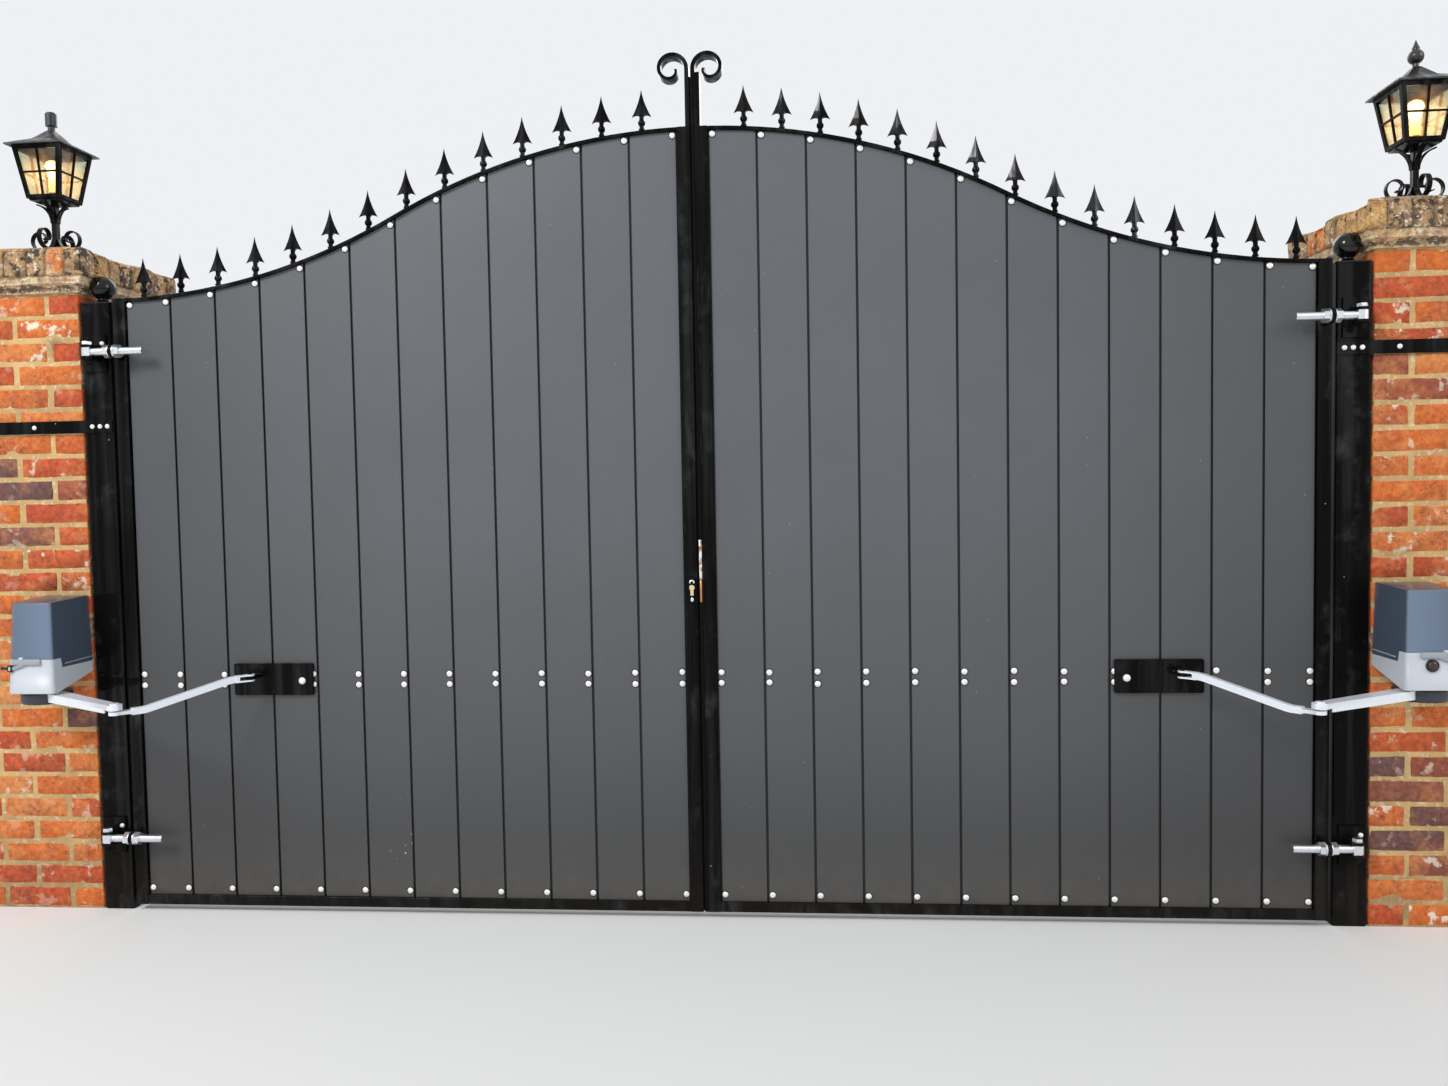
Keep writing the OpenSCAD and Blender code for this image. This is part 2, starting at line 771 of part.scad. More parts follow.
// Plan of the housing: rounded on the side of the gate, with its outer front corner cut off
module housing_plan(taper) {
    w = opener_w / 2 - taper;
    front = -opener_d + 1.5 * taper;
    hull() {
        translate([-w + 10, front + 10]) circle(10, $fn = 32);
        translate([w - housing_cut, front + 6]) circle(6, $fn = 32);
        translate([w - 6, front + housing_cut]) circle(6, $fn = 32);
        for (s = [-1, 1]) translate([s * (w - 2), -2]) circle(2, $fn = 32);
    }
}
// Tapered housing, its top falling a little to the front
module opener_housing() {
    hull() translate([opener_x, 0, opener_z]) {
        linear_extrude(1) housing_plan(0);
        translate([0, 0, opener_h - 9]) linear_extrude(1) housing_plan(cover_taper);
        translate([0, -opener_d / 2, opener_h - 1]) linear_extrude(1) intersection() {
            translate([0, opener_d / 2]) housing_plan(cover_taper);
            translate([-opener_w, opener_d / 2 - 4]) square([2 * opener_w, 5]);
        }
    }
}
module base_profile(grow) {
    d = opener_d + 10;
    step = opener_d - base_front_d;
    polygon([
        [-d, -5], [-opener_d + base_toe, 0], [0, base_rise], [0, base_h - base_step + grow],
        [-step + grow, base_h - base_step + grow], [-step - 5 + grow, base_h + grow], [-d, base_h + grow]
    ]);
}
module opener_base() {
    color("lightgray") {
        intersection() {
            opener_housing();
            translate([0, 0, opener_z]) from_side(opener_x - opener_w, opener_x + opener_w) base_profile(0);
        }
        translate([shaft_at[0], shaft_at[1], opener_z - pass_gap - drum_h - shaft_below])
            cylinder(d = shaft_d, h = shaft_below + drum_h + pass_gap + shaft_in);
    }
}
module opener_cover() {
    color("dimgray") difference() {
        opener_housing();
        translate([0, 0, opener_z]) from_side(opener_x - opener_w, opener_x + opener_w) union() {
            base_profile(fit);
            translate([-2 * opener_d, -base_h]) square([2 * opener_d + 1, 2 * base_h - base_step]);
        }
    }
}

// Plan of the channel arm: a tapered bar with a round boss at each pivot
drive_root_r = drive_root_w / 2 + 2;
drive_tip_r = drive_tip_w / 2 + 2;
module drive_taper(grow, x0, x1) {
    function half(x) = (drive_root_w + (drive_tip_w - drive_root_w) * x / drive_len) / 2 - 2 + grow;
    polygon([[x0, half(x0)], [x1, half(x1)], [x1, -half(x1)], [x0, -half(x0)]]);
}
module drive_plan(grow) {
    circle(drive_root_r + grow);
    translate([drive_len, 0]) circle(drive_tip_r + grow);
    drive_taper(grow, 0, drive_len);
}
module at_drive_arm(z) {
    translate([shaft_at[0], shaft_at[1], z]) rotate([0, 0, 180 + drive_angle]) children();
}
module drive_arm() {
    x0 = drive_root_r + 6;
    cell = (drive_len - drive_tip_r - 6 - x0 + drive_wall) / 3;
    color("silver") at_drive_arm(drive_low) difference() {
        union() {
            linear_extrude(drive_h) drive_plan(0);
            translate([drive_len, 0, drive_h - 1]) cylinder(d = 22 / cos(30), h = 5, $fn = 6);
        }
        translate([drive_len - drive_tip_r - 8, -drive_tip_w, -1]) cube([3 * drive_tip_r, 2 * drive_tip_w, tip_cut + 1]);
        for (i = [0:2]) translate([0, 0, -1]) linear_extrude(drive_h - drive_wall + 1)
            drive_taper(-drive_wall, x0 + i * cell, x0 + (i + 1) * cell - drive_wall);
        translate([0, 0, -1]) cylinder(d = shaft_d + 2 * pin_fit, h = drive_h + 2);
    }
}
module opener_drum() {
    color("darkslategray") difference() {
        translate([shaft_at[0], shaft_at[1], drum_high - drum_h]) rotate_extrude() difference() {
            square([drum_d / 2, drum_h]);
            translate([drum_d / 2, 0]) rotate([0, 0, 45]) square([8, 8], center = true);
            translate([-1, -1]) square([1 + shaft_d / 2 + pin_fit, drum_h + 2]);
        }
        at_drive_arm(drive_low - fit) linear_extrude(drum_h) drive_plan(fit);
    }
}

// Side of the curved arm: level at the elbow, one bend up, a slope, and one bend back to level
rise = clevis_z - tube_z;
tang_len = 46;
slope_run = arm_run - tube_level - tang_len;
tube_slope = 2 * atan((slope_run - sqrt(pow(slope_run, 2) - rise * (4 * tube_bend_r - rise))) / (4 * tube_bend_r - rise));
slope_len = (rise - 2 * tube_bend_r * (1 - cos(tube_slope))) / sin(tube_slope);
arm_line = concat(
    [[flat_len - 6, 0, 0]],
    [for (i = [0:12]) let (a = tube_slope * i / 12) [tube_level + tube_bend_r * sin(a), tube_bend_r * (1 - cos(a)), a]],
    [for (i = [12:-1:0]) let (a = tube_slope * i / 12)
        [arm_run - tang_len - tube_bend_r * sin(a), rise - tube_bend_r * (1 - cos(a)), a]],
    [[arm_run - tang_len + 12, rise, 0]]
);
function arm_edge(side) = [for (p = arm_line) [p[0] - side * sin(p[2]) * tube_d / 2, p[1] + side * cos(p[2]) * tube_d / 2]];
module arm_side() {
    low = arm_edge(-1);
    polygon(concat(arm_edge(1), [for (i = [len(low) - 1:-1:0]) low[i]]));
}
module curved_arm() {
    blade_low = tang_t / 2 + eye_fit;
    color("silver") translate([elbow_at[0], elbow_at[1], tube_z]) rotate([0, 0, arm_angle]) {
        translate([0, 0, -tang_t / 2]) linear_extrude(tang_t) {
            circle(ear_r + 3);
            translate([0, -ear_r]) square([flat_len, 2 * ear_r]);
        }
        rotate([90, 0, 0]) linear_extrude(tube_d, center = true) arm_side();
        translate([arm_run - tang_len, -ear_r + 3, rise - blade_low - ear_t]) cube([12, 2 * ear_r - 6, 2 * (blade_low + ear_t)]);
        difference() {
            for (z = [-blade_low - ear_t, blade_low]) translate([arm_run, 0, rise + z]) linear_extrude(ear_t) {
                circle(ear_r);
                translate([-tang_len + 1, -ear_r + 3]) square([tang_len, 2 * ear_r - 6]);
            }
            translate([arm_run, 0, rise - 2 * tang_t]) cylinder(d = arm_pin_d + 2 * pin_fit, h = 4 * tang_t);
        }
    }
}

module arm_bracket() {
    pin_up = tang_t / 2 + eye_fit + ear_t + 4;
    color("black") {
        from_front(-plate_t, -fit) translate([plate_x, plate_z]) rounded(-plate_w / 2, -plate_h / 2, plate_w / 2, plate_h / 2, 6);
        translate([clevis_at[0], clevis_at[1], clevis_z - tang_t / 2]) linear_extrude(tang_t) {
            circle(ear_r);
            translate([-ear_r, 0]) square([2 * ear_r, clevis_y - plate_t + 1]);
        }
        translate([clevis_at[0], clevis_at[1], clevis_z - pin_up]) cylinder(d = arm_pin_d, h = 2 * pin_up);
    }
}

// Lantern
module at_lantern() { translate([pier_x, pier_w / 2, 0]) children(); }
function body_half(z) = (body_low_w + (body_high_w - body_low_w) * (z - body_low) / body_h) / 2;
module body_outline(inset, z0, z1) {
    polygon([
        [-body_half(z0) + inset, z0], [body_half(z0) - inset, z0],
        [body_half(z1) - inset, z1], [-body_half(z1) + inset, z1]
    ]);
}
module pane(z0, z1) {
    for (m = [0, 1]) mirror([m, 0]) polygon([
        [glazing_w / 2, z0], [body_half(z0) - corner_w, z0],
        [body_half(z1) - corner_w, z1], [glazing_w / 2, z1]
    ]);
}
module panes() {
    mid = body_low + body_h / 2;
    pane(body_low + 12, mid - glazing_w / 2);
    pane(mid + glazing_w / 2, body_high - 12);
}
module lantern_frame() {
    color("black") at_lantern() difference() {
        four_sided(body_high_w) body_outline(0, body_low, body_high);
        four_sided(body_high_w) body_outline(cage_t, body_low + 4, body_high + 1);
        from_front(-body_high_w, body_high_w) panes();
        from_side(-body_high_w, body_high_w) panes();
    }
}
module lantern_glass() {
    color("lightyellow", 0.4) at_lantern() difference() {
        four_sided(body_high_w) body_outline(cage_t + fit, body_low + 4 + fit, body_high - fit);
        four_sided(body_high_w) body_outline(cage_t + fit + glass_t, body_low, body_high + 1);
    }
}
module roof_outline() {
    w = roof_w / 2;
    half = [[w, 0], [w, eave_t], [w * 0.42, eave_t + roof_h * 0.42], [10, roof_h]];
    polygon(concat(half, [for (i = [len(half) - 1:-1:0]) [-half[i][0], half[i][1]]]));
}
module lantern_roof(turned) {
    k = finial_d / 2;
    color("black") at_lantern() translate([0, 0, body_high]) {
        four_sided(roof_w) roof_outline();
        translate([0, 0, roof_h - 1]) rotate_extrude() {
            if (turned) {
                square([k * 0.4, k * 1.4]);
                translate([0, k * 1.4]) intersection() {
                    circle(k);
                    translate([0, -k]) square([k, 2 * k]);
                }
                translate([0, k * 2.3]) square([k * 0.45, k * 0.25]);
                polygon([[0, k * 2.5], [k * 0.5, k * 2.5], [0, k * 3.7]]);
            } else {
                square([k * 0.5, k]);
                translate([0, k * 0.7]) square([k * 0.8, k * 1.8]);
                translate([0, k * 2.4]) square([k * 0.6, k * 0.3]);
            }
        }
    }
}
module lantern_bulb() {
    k = bulb_d / 2;
    color("lightyellow") at_lantern() translate([0, 0, body_low + 4]) rotate_extrude() {
        h = holder_h;
        square([k * 0.6, h + k * 1.8]);
        polygon([[0, h + k * 1.7], [k * 0.5, h + k * 1.7], [k * 0.8, h + k * 2.8], [k * 0.8, h + k * 3.4], [0, h + k * 3.4]]);
        translate([0, h + k * 3.4]) intersection() {
            circle(k);
            square([k, k]);
        }
    }
}
foot_centre = lantern_stem_w / 2 + foot_r + foot_t / 2 - 2;
module lantern_foot() {
    translate([foot_centre, 0, cap_high + foot_r + foot_t / 2]) mirror([0, 0, 1]) from_front(-foot_w / 2, foot_w / 2)
        scroll_outline(foot_r, foot_r / 5, foot_t, foot_t * 0.7, foot_turn, 1.1);
}
module lantern_bracket() {
    r = body_half(body_low) - lantern_stem_w / 2 + 20;
    z = body_low - 4;
    translate([lantern_stem_w / 2 - 1 + r, 0, z - r]) from_front(-foot_w / 2, foot_w / 2) intersection() {
        difference() {
            circle(r, $fn = 96);
            circle(r - foot_t, $fn = 96);
        }
        translate([-r, 0]) square([r - 16, r]);
    }
}
module lantern_stand() {
    color("black") at_lantern() {
        translate([-lantern_stem_w / 2, -lantern_stem_w / 2, cap_high]) cube([lantern_stem_w, lantern_stem_w, stand_h]);
        translate([-body_low_w / 2 + 6, -body_low_w / 2 + 6, body_low - 6]) cube([body_low_w - 12, body_low_w - 12, 6]);
        for (a = [0:90:270]) rotate([0, 0, a]) {
            lantern_foot();
            lantern_bracket();
        }
    }
}

module left_pier() { left() pier(); }
module left_pier_cornice() { left() pier_cornice(); }
module left_pier_cap() { left() pier_cap(); }
module left_post() { left() post(); }
module left_post_finial() { left() post_finial(); }
module left_strap() { left() strap(pier_h - strap_left_drop); }
module left_hinge_brackets() { left() hinge_brackets(); }
module left_opener_base() { left() opener_base(); }
module left_opener_cover() { left() opener_cover(); }
module left_opener_drum() { left() opener_drum(); }
module left_drive_arm() { left() drive_arm(); }
module left_curved_arm() { left() curved_arm(); }
module left_arm_bracket() { left() arm_bracket(); }
module left_hinge_stile() { left() hinge_stile(); }
module left_meeting_stile() { left() meeting_stile_with_lock(); }
module left_bottom_rail() { left() bottom_rail(); }
module left_middle_rail() { left() middle_rail(); }
module left_top_rail() { left() top_rail(); }
module left_boards() { left() boards(); }
module left_railheads() { left() railheads(heads_left); }
module left_scroll() { left() left_scroll_shape(); }
module left_hinge_eyes() { left() hinge_eyes(); }
module left_lantern_stand() { left() lantern_stand(); }
module left_lantern_frame() { left() lantern_frame(); }
module left_lantern_glass() { left() lantern_glass(); }
module left_lantern_roof() { left() lantern_roof(false); }
module left_lantern_bulb() { left() lantern_bulb(); }
module lock() { left() lock_shape(); }
module right_pier() { right() pier(); }
module right_pier_cornice() { right() pier_cornice(); }
module right_pier_cap() { right() pier_cap(); }
module right_post() { right() post(); }
module right_post_finial() { right() post_finial(); }
module right_strap() { right() strap(pier_h - strap_right_drop); }
module right_hinge_brackets() { right() hinge_brackets(); }
module right_opener_base() { right() opener_base(); }
module right_opener_cover() { right() opener_cover(); }
module right_opener_drum() { right() opener_drum(); }
module right_drive_arm() { right() drive_arm(); }
module right_curved_arm() { right() curved_arm(); }
module right_arm_bracket() { right() arm_bracket(); }
module right_hinge_stile() { right() hinge_stile(); }
module right_meeting_stile() { right() meeting_stile_with_stop(); }
module right_bottom_rail() { right() bottom_rail(); }
module right_middle_rail() { right() middle_rail(); }
module right_top_rail() { right() top_rail(); }
module right_boards() { right() boards(); }
module right_railheads() { right() railheads(heads_right); }
module right_scroll() { right() right_scroll_shape(); }
module right_hinge_eyes() { right() hinge_eyes(); }
module right_lantern_stand() { right() lantern_stand(); }
module right_lantern_frame() { right() lantern_frame(); }
module right_lantern_glass() { right() lantern_glass(); }
module right_lantern_roof() { right() lantern_roof(true); }
module right_lantern_bulb() { right() lantern_bulb(); }

left_pier();
left_pier_cornice();
left_pier_cap();
left_post();
left_post_finial();
left_strap();
left_hinge_brackets();
left_opener_base();
left_opener_cover();
left_opener_drum();
left_drive_arm();
left_curved_arm();
left_arm_bracket();
left_hinge_stile();
left_meeting_stile();
left_bottom_rail();
left_middle_rail();
left_top_rail();
left_boards();
left_railheads();
left_scroll();
left_hinge_eyes();
left_lantern_stand();
left_lantern_frame();
left_lantern_glass();
left_lantern_roof();
left_lantern_bulb();
lock();
right_pier();
right_pier_cornice();
right_pier_cap();
right_post();
right_post_finial();
right_strap();
right_hinge_brackets();
right_opener_base();
right_opener_cover();
right_opener_drum();
right_drive_arm();
right_curved_arm();
right_arm_bracket();
right_hinge_stile();
right_meeting_stile();
right_bottom_rail();
right_middle_rail();
right_top_rail();
right_boards();
right_railheads();
right_scroll();
right_hinge_eyes();
right_lantern_stand();
right_lantern_frame();
right_lantern_glass();
right_lantern_roof();
right_lantern_bulb();
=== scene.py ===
"""Driveway gate between brick piers: bricks, stones, boards, rivets, paint, metal and lanterns.

Every operator dresses one group of the packed part's pieces. Shapes are numpy arrays in metres, in the
part's own frame: X across the gate, Y from the drive to the road, Z up from the ground.
"""

import json
import math

import bmesh
import bpy
import numpy as np
from bpy.props import FloatProperty, FloatVectorProperty, IntProperty, PointerProperty
from mathutils import Matrix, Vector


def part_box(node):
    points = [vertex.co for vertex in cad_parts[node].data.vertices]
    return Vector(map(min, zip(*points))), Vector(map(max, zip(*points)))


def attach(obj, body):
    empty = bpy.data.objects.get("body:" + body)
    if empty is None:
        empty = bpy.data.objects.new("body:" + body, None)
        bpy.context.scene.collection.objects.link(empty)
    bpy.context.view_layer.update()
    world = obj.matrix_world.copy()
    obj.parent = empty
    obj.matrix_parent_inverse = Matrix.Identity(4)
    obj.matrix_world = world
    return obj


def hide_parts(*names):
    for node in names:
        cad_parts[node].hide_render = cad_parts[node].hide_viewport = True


bl_info = {
    "name": "Driveway gate",
    "version": (1, 0, 0),
    "blender": (4, 5, 0),
    "location": "3D View > Sidebar > Gate",
    "description": "Dresses an arched driveway gate with its piers, lanterns and openers",
    "category": "Object",
}

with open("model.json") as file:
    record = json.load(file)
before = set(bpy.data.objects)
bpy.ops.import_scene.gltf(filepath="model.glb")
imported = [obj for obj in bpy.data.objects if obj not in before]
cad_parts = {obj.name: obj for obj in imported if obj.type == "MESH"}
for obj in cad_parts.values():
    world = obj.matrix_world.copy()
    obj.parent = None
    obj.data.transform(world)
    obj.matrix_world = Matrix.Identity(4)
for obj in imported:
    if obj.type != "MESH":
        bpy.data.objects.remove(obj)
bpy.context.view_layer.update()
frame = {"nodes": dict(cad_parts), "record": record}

MM = 0.001
SIDES = {"left": -1.0, "right": 1.0}
BODY_OF = {node: body for body, nodes in frame["record"]["behaviour"]["bodies"].items() for node in nodes}


# Places of the CAD pieces

def low(node):
    """Lowest corner of a CAD piece, in metres."""
    return np.array(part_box(node)[0])


def high(node):
    """Highest corner of a CAD piece, in metres."""
    return np.array(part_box(node)[1])


def middle(node):
    """Centre of a CAD piece's box, in metres."""
    return (low(node) + high(node)) / 2


# Boards, leaves and ends of the leaves are measured outwards from the middle of the gate
GATE_X = float((low("left_meeting_stile")[0] + high("right_meeting_stile")[0]) / 2)
BOARD_FACE_Y = float(low("left_boards")[1])
BOARD_IN = float(high("right_meeting_stile")[0] - GATE_X)
BOARD_OUT = float(low("right_hinge_stile")[0] - GATE_X)
LEAF_IN = GATE_X - high("left_meeting_stile")[0]
LEAF_OUT = high("right_hinge_stile")[0] - GATE_X
PIN_Y = middle("right_hinge_eyes")[1]
BOARDS = 12
BOARD_PITCH = (BOARD_OUT - BOARD_IN) / BOARDS

# The middle of a hinge's lower eye above its foot, and of the upper one below its top
PIN_LEVEL = 0.021


# Random fields

# Odd numbers that scramble the place of a cell and a seed into a random number
CELL_FACTORS = (73856093, 19349663, 83492791)
SEED_FACTOR = 2654435761
MIX_FACTOR = 1274126177
LOW_BITS = 65535

# Added to every cell's place, so that its numbers stay above 0
CELL_SHIFT = 1000.0


def value_noise(points, size, seed=0):
    """Random numbers at the corners of cubes of a size, blended smoothly between them, from 0 to 1."""
    p = points / size + CELL_SHIFT
    cell = np.floor(p).astype(np.int64)
    f = p - cell
    f = f * f * (3 - 2 * f)
    total = np.zeros(len(points))
    for corner in np.ndindex(2, 2, 2):
        n = seed * SEED_FACTOR
        for axis, factor in enumerate(CELL_FACTORS):
            n = n ^ ((cell[:, axis] + corner[axis]) * factor)
        n = (n ^ (n >> 13)) * MIX_FACTOR
        value = ((n ^ (n >> 16)) & LOW_BITS) / LOW_BITS
        weight = np.prod(np.where(np.array(corner) == 1, f, 1 - f), axis=1)
        total += weight * value
    return total


# Meshes

def lattice(rows, columns, closed=False):
    """Four-sided faces between neighbouring rows and columns; closed joins the last column to the first."""
    i = np.arange(rows - 1)[:, None]
    j = np.arange(columns if closed else columns - 1)[None, :]
    k = (j + 1) % columns
    a = i * columns + j
    b = i * columns + k
    return np.stack([a, b, b + columns, a + columns], axis=-1).reshape(-1, 4)


def capped(rows, columns):
    """Faces of a closed tube of loops, with one many-sided face over its first and its last loop."""
    ring = np.arange(columns)[None, :]
    return [lattice(rows, columns, True), ring[:, ::-1], (rows - 1) * columns + ring]


def repeated(points, faces, places, turns=None):
    """The same shape at many places: each copy is the points, turned by its own matrix, plus its place."""
    places = np.asarray(places, float)
    turns = np.repeat(np.eye(3)[None], len(places), 0) if turns is None else np.asarray(turns, float)
    moved = np.einsum("kij,nj->kni", turns, points) + places[:, None, :]
    shift = (np.arange(len(places)) * len(points))[:, None, None]
    return moved.reshape(-1, 3), [(f[None] + shift).reshape(-1, f.shape[1]) for f in faces]


def gathered(parts):
    """Several (points, faces) made one."""
    points = []
    faces = []
    count = 0
    for p, f in parts:
        points.append(p)
        faces += [g + count for g in f]
        count += len(p)
    return np.concatenate(points), faces


def fill_mesh(name, points, faces):
    """A mesh from an array of points and arrays of faces, each array with its own number of corners."""
    mesh = bpy.data.meshes.new(name)
    mesh.vertices.add(len(points))
    mesh.vertices.foreach_set("co", np.asarray(points, np.float32).ravel())
    loops = np.concatenate([f.ravel() for f in faces])
    totals = np.concatenate([np.full(len(f), f.shape[1]) for f in faces])
    mesh.loops.add(len(loops))
    mesh.loops.foreach_set("vertex_index", loops.astype(np.int32))
    mesh.polygons.add(len(totals))
    mesh.polygons.foreach_set("loop_start", np.concatenate([[0], np.cumsum(totals)[:-1]]).astype(np.int32))
    mesh.polygons.foreach_set("loop_total", totals.astype(np.int32))
    mesh.update(calc_edges=True)
    return mesh


def shaded(mesh, angle):
    """Smooth shading, with edges sharper than the angle, in degrees, left hard."""
    mesh.polygons.foreach_set("use_smooth", np.ones(len(mesh.polygons), bool))
    mesh.set_sharp_from_angle(angle=math.radians(angle))


def piece(name, points, faces, material, body, angle=40.0, replaces=()):
    """A new piece of the gate that rides on a body and may stand for CAD pieces."""
    mesh = fill_mesh(name, points, faces)
    bm = bmesh.new()
    bm.from_mesh(mesh)
    bmesh.ops.recalc_face_normals(bm, faces=bm.faces)
    bm.to_mesh(mesh)
    bm.free()
    shaded(mesh, angle)
    mesh.materials.append(material)
    obj = bpy.data.objects.new(name, mesh)
    bpy.context.scene.collection.objects.link(obj)
    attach(obj, body)
    if replaces:
        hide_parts(*replaces)
    return obj


# Corners of a CAD mesh this near are one, and faces that bend by fewer degrees are one
WELD = 2e-5
FLAT = 0.8

# Degrees from which an edge is rounded, and from which it is left hard
ROUND_FROM = 35.0
HARD_FROM = 50.0

# Radius of a turned shape where it meets its axis
POINT = 1e-5


def dressed(node, material, bevel=0.8, segments=2):
    """A copy of a CAD piece with its flat faces merged, its edges rounded by millimetres, and a finish."""
    bm = bmesh.new()
    bm.from_mesh(frame["nodes"][node].data)
    bmesh.ops.remove_doubles(bm, verts=bm.verts, dist=WELD)
    bmesh.ops.dissolve_limit(bm, angle_limit=math.radians(FLAT), verts=bm.verts, edges=bm.edges)
    bmesh.ops.recalc_face_normals(bm, faces=bm.faces)
    points = [tuple(v.co) for v in bm.verts]
    bm.verts.index_update()
    faces = [[v.index for v in f.verts] for f in bm.faces]
    bm.free()
    mesh = bpy.data.meshes.new(f"{node}_dressed")
    mesh.from_pydata(points, [], faces)
    shaded(mesh, HARD_FROM)
    mesh.materials.append(material)
    obj = bpy.data.objects.new(f"{node}_dressed", mesh)
    bpy.context.scene.collection.objects.link(obj)
    if bevel:
        mod = obj.modifiers.new("Rounded edges", "BEVEL")
        mod.width = bevel * MM
        mod.segments = segments
        mod.limit_method = "ANGLE"
        mod.angle_limit = math.radians(ROUND_FROM)
        mod.harden_normals = True
        mod.use_clamp_overlap = True
    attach(obj, BODY_OF[node])
    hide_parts(node)
    return obj


def turned(profile, steps=32, axis="Z"):
    """A profile of (radius, height) rows turned once round an axis, closed at both ends."""
    profile = np.asarray(profile, float)
    angle = np.linspace(0, 2 * np.pi, steps, endpoint=False)
    r = profile[:, 0, None]
    height = np.repeat(profile[:, 1, None], steps, 1)
    points = np.stack([r * np.cos(angle), r * np.sin(angle), height], -1).reshape(-1, 3)
    if axis == "X":
        points = points[:, [2, 0, 1]]
    if axis == "-Y":
        points = np.stack([points[:, 0], -points[:, 2], points[:, 1]], -1)
    return points, capped(len(profile), steps)


def dome(radius, height, rim, back, steps=24, rings=5):
    """A round head towards the drive: a rim, then a cap of a sphere, on a shank that reaches back."""
    start = 0.35
    within = 0.97
    rows = [(radius, -back), (radius, rim)]
    rows += [(radius * math.cos(t) * within + POINT, rim + (height - rim) * math.sin(t))
             for t in np.linspace(start, np.pi / 2, rings)]
    return turned(rows, steps, "-Y")


def hexagon(width, height):
    """An upright hexagon head or nut of a width over flats, its corners taken off above its shoulder."""
    edge = 0.06
    shoulder = 0.85
    r = width / math.sqrt(3)
    rows = [(r, 0), (r, height * shoulder), (r * (1 - edge), height), (POINT, height)]
    return turned(rows, 6)


# Shader building

VECTOR = "NodeSocketVector"
VALUE = "NodeSocketFloat"

# Sockets of a Mix node that mixes colours: share, two colours and result
MIX_SHARE = 0
MIX_FIRST = 6
MIX_SECOND = 7
MIX_RESULT = 2

BLACK = (0.0, 0.0, 0.0)
WHITE = (1.0, 1.0, 1.0)


def put(tree, kind, inputs=None, **settings):
    """A node in a tree, with its settings, and its inputs set to values or linked to other outputs."""
    node = tree.nodes.new(kind)
    for key, value in settings.items():
        setattr(node, key, value)
    for key, value in (inputs or {}).items():
        if isinstance(value, bpy.types.NodeSocket):
            tree.links.new(value, node.inputs[key])
        else:
            node.inputs[key].default_value = value
    return node


def maths(tree, operation, *values):
    """The result of a Math node on one to three values."""
    return put(tree, "ShaderNodeMath", dict(enumerate(values)), operation=operation).outputs[0]


def product(tree, *values):
    """Values multiplied, from the first to the last."""
    result = values[0]
    for value in values[1:]:
        result = maths(tree, "MULTIPLY", result, value)
    return result


def ranged(tree, value, first, last, start=0.0, end=1.0, kind="LINEAR"):
    """A value's run from first to last turned into a run from start to end, and held beyond it."""
    inputs = {"Value": value, "From Min": first, "From Max": last, "To Min": start, "To Max": end}
    return put(tree, "ShaderNodeMapRange", inputs, interpolation_type=kind).outputs[0]


def axes(tree, vector):
    """The three parts of a vector, by the names X, Y and Z."""
    return put(tree, "ShaderNodeSeparateXYZ", {"Vector": vector}).outputs


def stretched(tree, vector, lengths):
    """A vector multiplied part by part."""
    return put(tree, "ShaderNodeVectorMath", {0: vector, 1: lengths}, operation="MULTIPLY").outputs[0]


def distance_from(tree, vector, spot):
    """How far a place is from a spot."""
    node = put(tree, "ShaderNodeVectorMath", {0: vector, 1: spot}, operation="DISTANCE")
    return node.outputs["Value"]


def attribute_values(tree, name):
    """The three values that the colour attribute of a piece carries."""
    colour = put(tree, "ShaderNodeAttribute", attribute_name=name).outputs["Color"]
    return put(tree, "ShaderNodeSeparateColor", {"Color": colour}).outputs[:3]


def toned(colour, factor):
    """A colour made darker or brighter by a factor."""
    return [c * factor for c in colour]


def blended(tree, share, a, b, kind="MIX"):
    """Colour a turned into colour b by a share from 0 to 1."""
    node = put(tree, "ShaderNodeMix", data_type="RGBA", blend_type=kind)
    for index, value in ((MIX_SHARE, share), (MIX_FIRST, a), (MIX_SECOND, b)):
        if isinstance(value, bpy.types.NodeSocket):
            tree.links.new(value, node.inputs[index])
        else:
            node.inputs[index].default_value = value if index == MIX_SHARE else (*value, 1.0)
    return node.outputs[MIX_RESULT]


def covered(tree, colour, over, mask, most):
    """A colour with another one over it where a mask is, to a share at most."""
    return blended(tree, product(tree, mask, most), colour, over)


def grained(tree, colour, mask, amount, dark=BLACK, light=WHITE):
    """A colour made uneven by an amount: darker where a mask is 0 and lighter where it is 1."""
    return blended(tree, amount, colour, blended(tree, mask, dark, light), "OVERLAY")


def effect(name, inputs, output, build):
    """A shared effect as a node group: named inputs with defaults, one output, and what builds it."""
    if name in bpy.data.node_groups:
        return bpy.data.node_groups[name]
    group = bpy.data.node_groups.new(name, "ShaderNodeTree")
    for key, kind, value in inputs:
        socket = group.interface.new_socket(name=key, in_out="INPUT", socket_type=kind)
        if value is not None:
            socket.default_value = value
    group.interface.new_socket(name=output, in_out="OUTPUT", socket_type=VALUE)
    start = group.nodes.new("NodeGroupInput")
    end = group.nodes.new("NodeGroupOutput")
    group.links.new(build(group, start.outputs), end.inputs[0])
    return group


def cloud_effect():
    """Soft patches: fractal noise, of which the run between a low and a high limit becomes 0 to 1."""
    def build(tree, given):
        noise = put(tree, "ShaderNodeTexNoise", {"Vector": given["Vector"], "Scale": given["Scale"],
                                                 "Detail": given["Detail"], "Roughness": 0.6})
        return ranged(tree, noise.outputs[0], given["Low"], given["High"])
    inputs = [("Vector", VECTOR, None), ("Scale", VALUE, 5.0), ("Detail", VALUE, 4.0), ("Low", VALUE, 0.35),
              ("High", VALUE, 0.65)]
    return effect("Soft patches", inputs, "Mask", build)


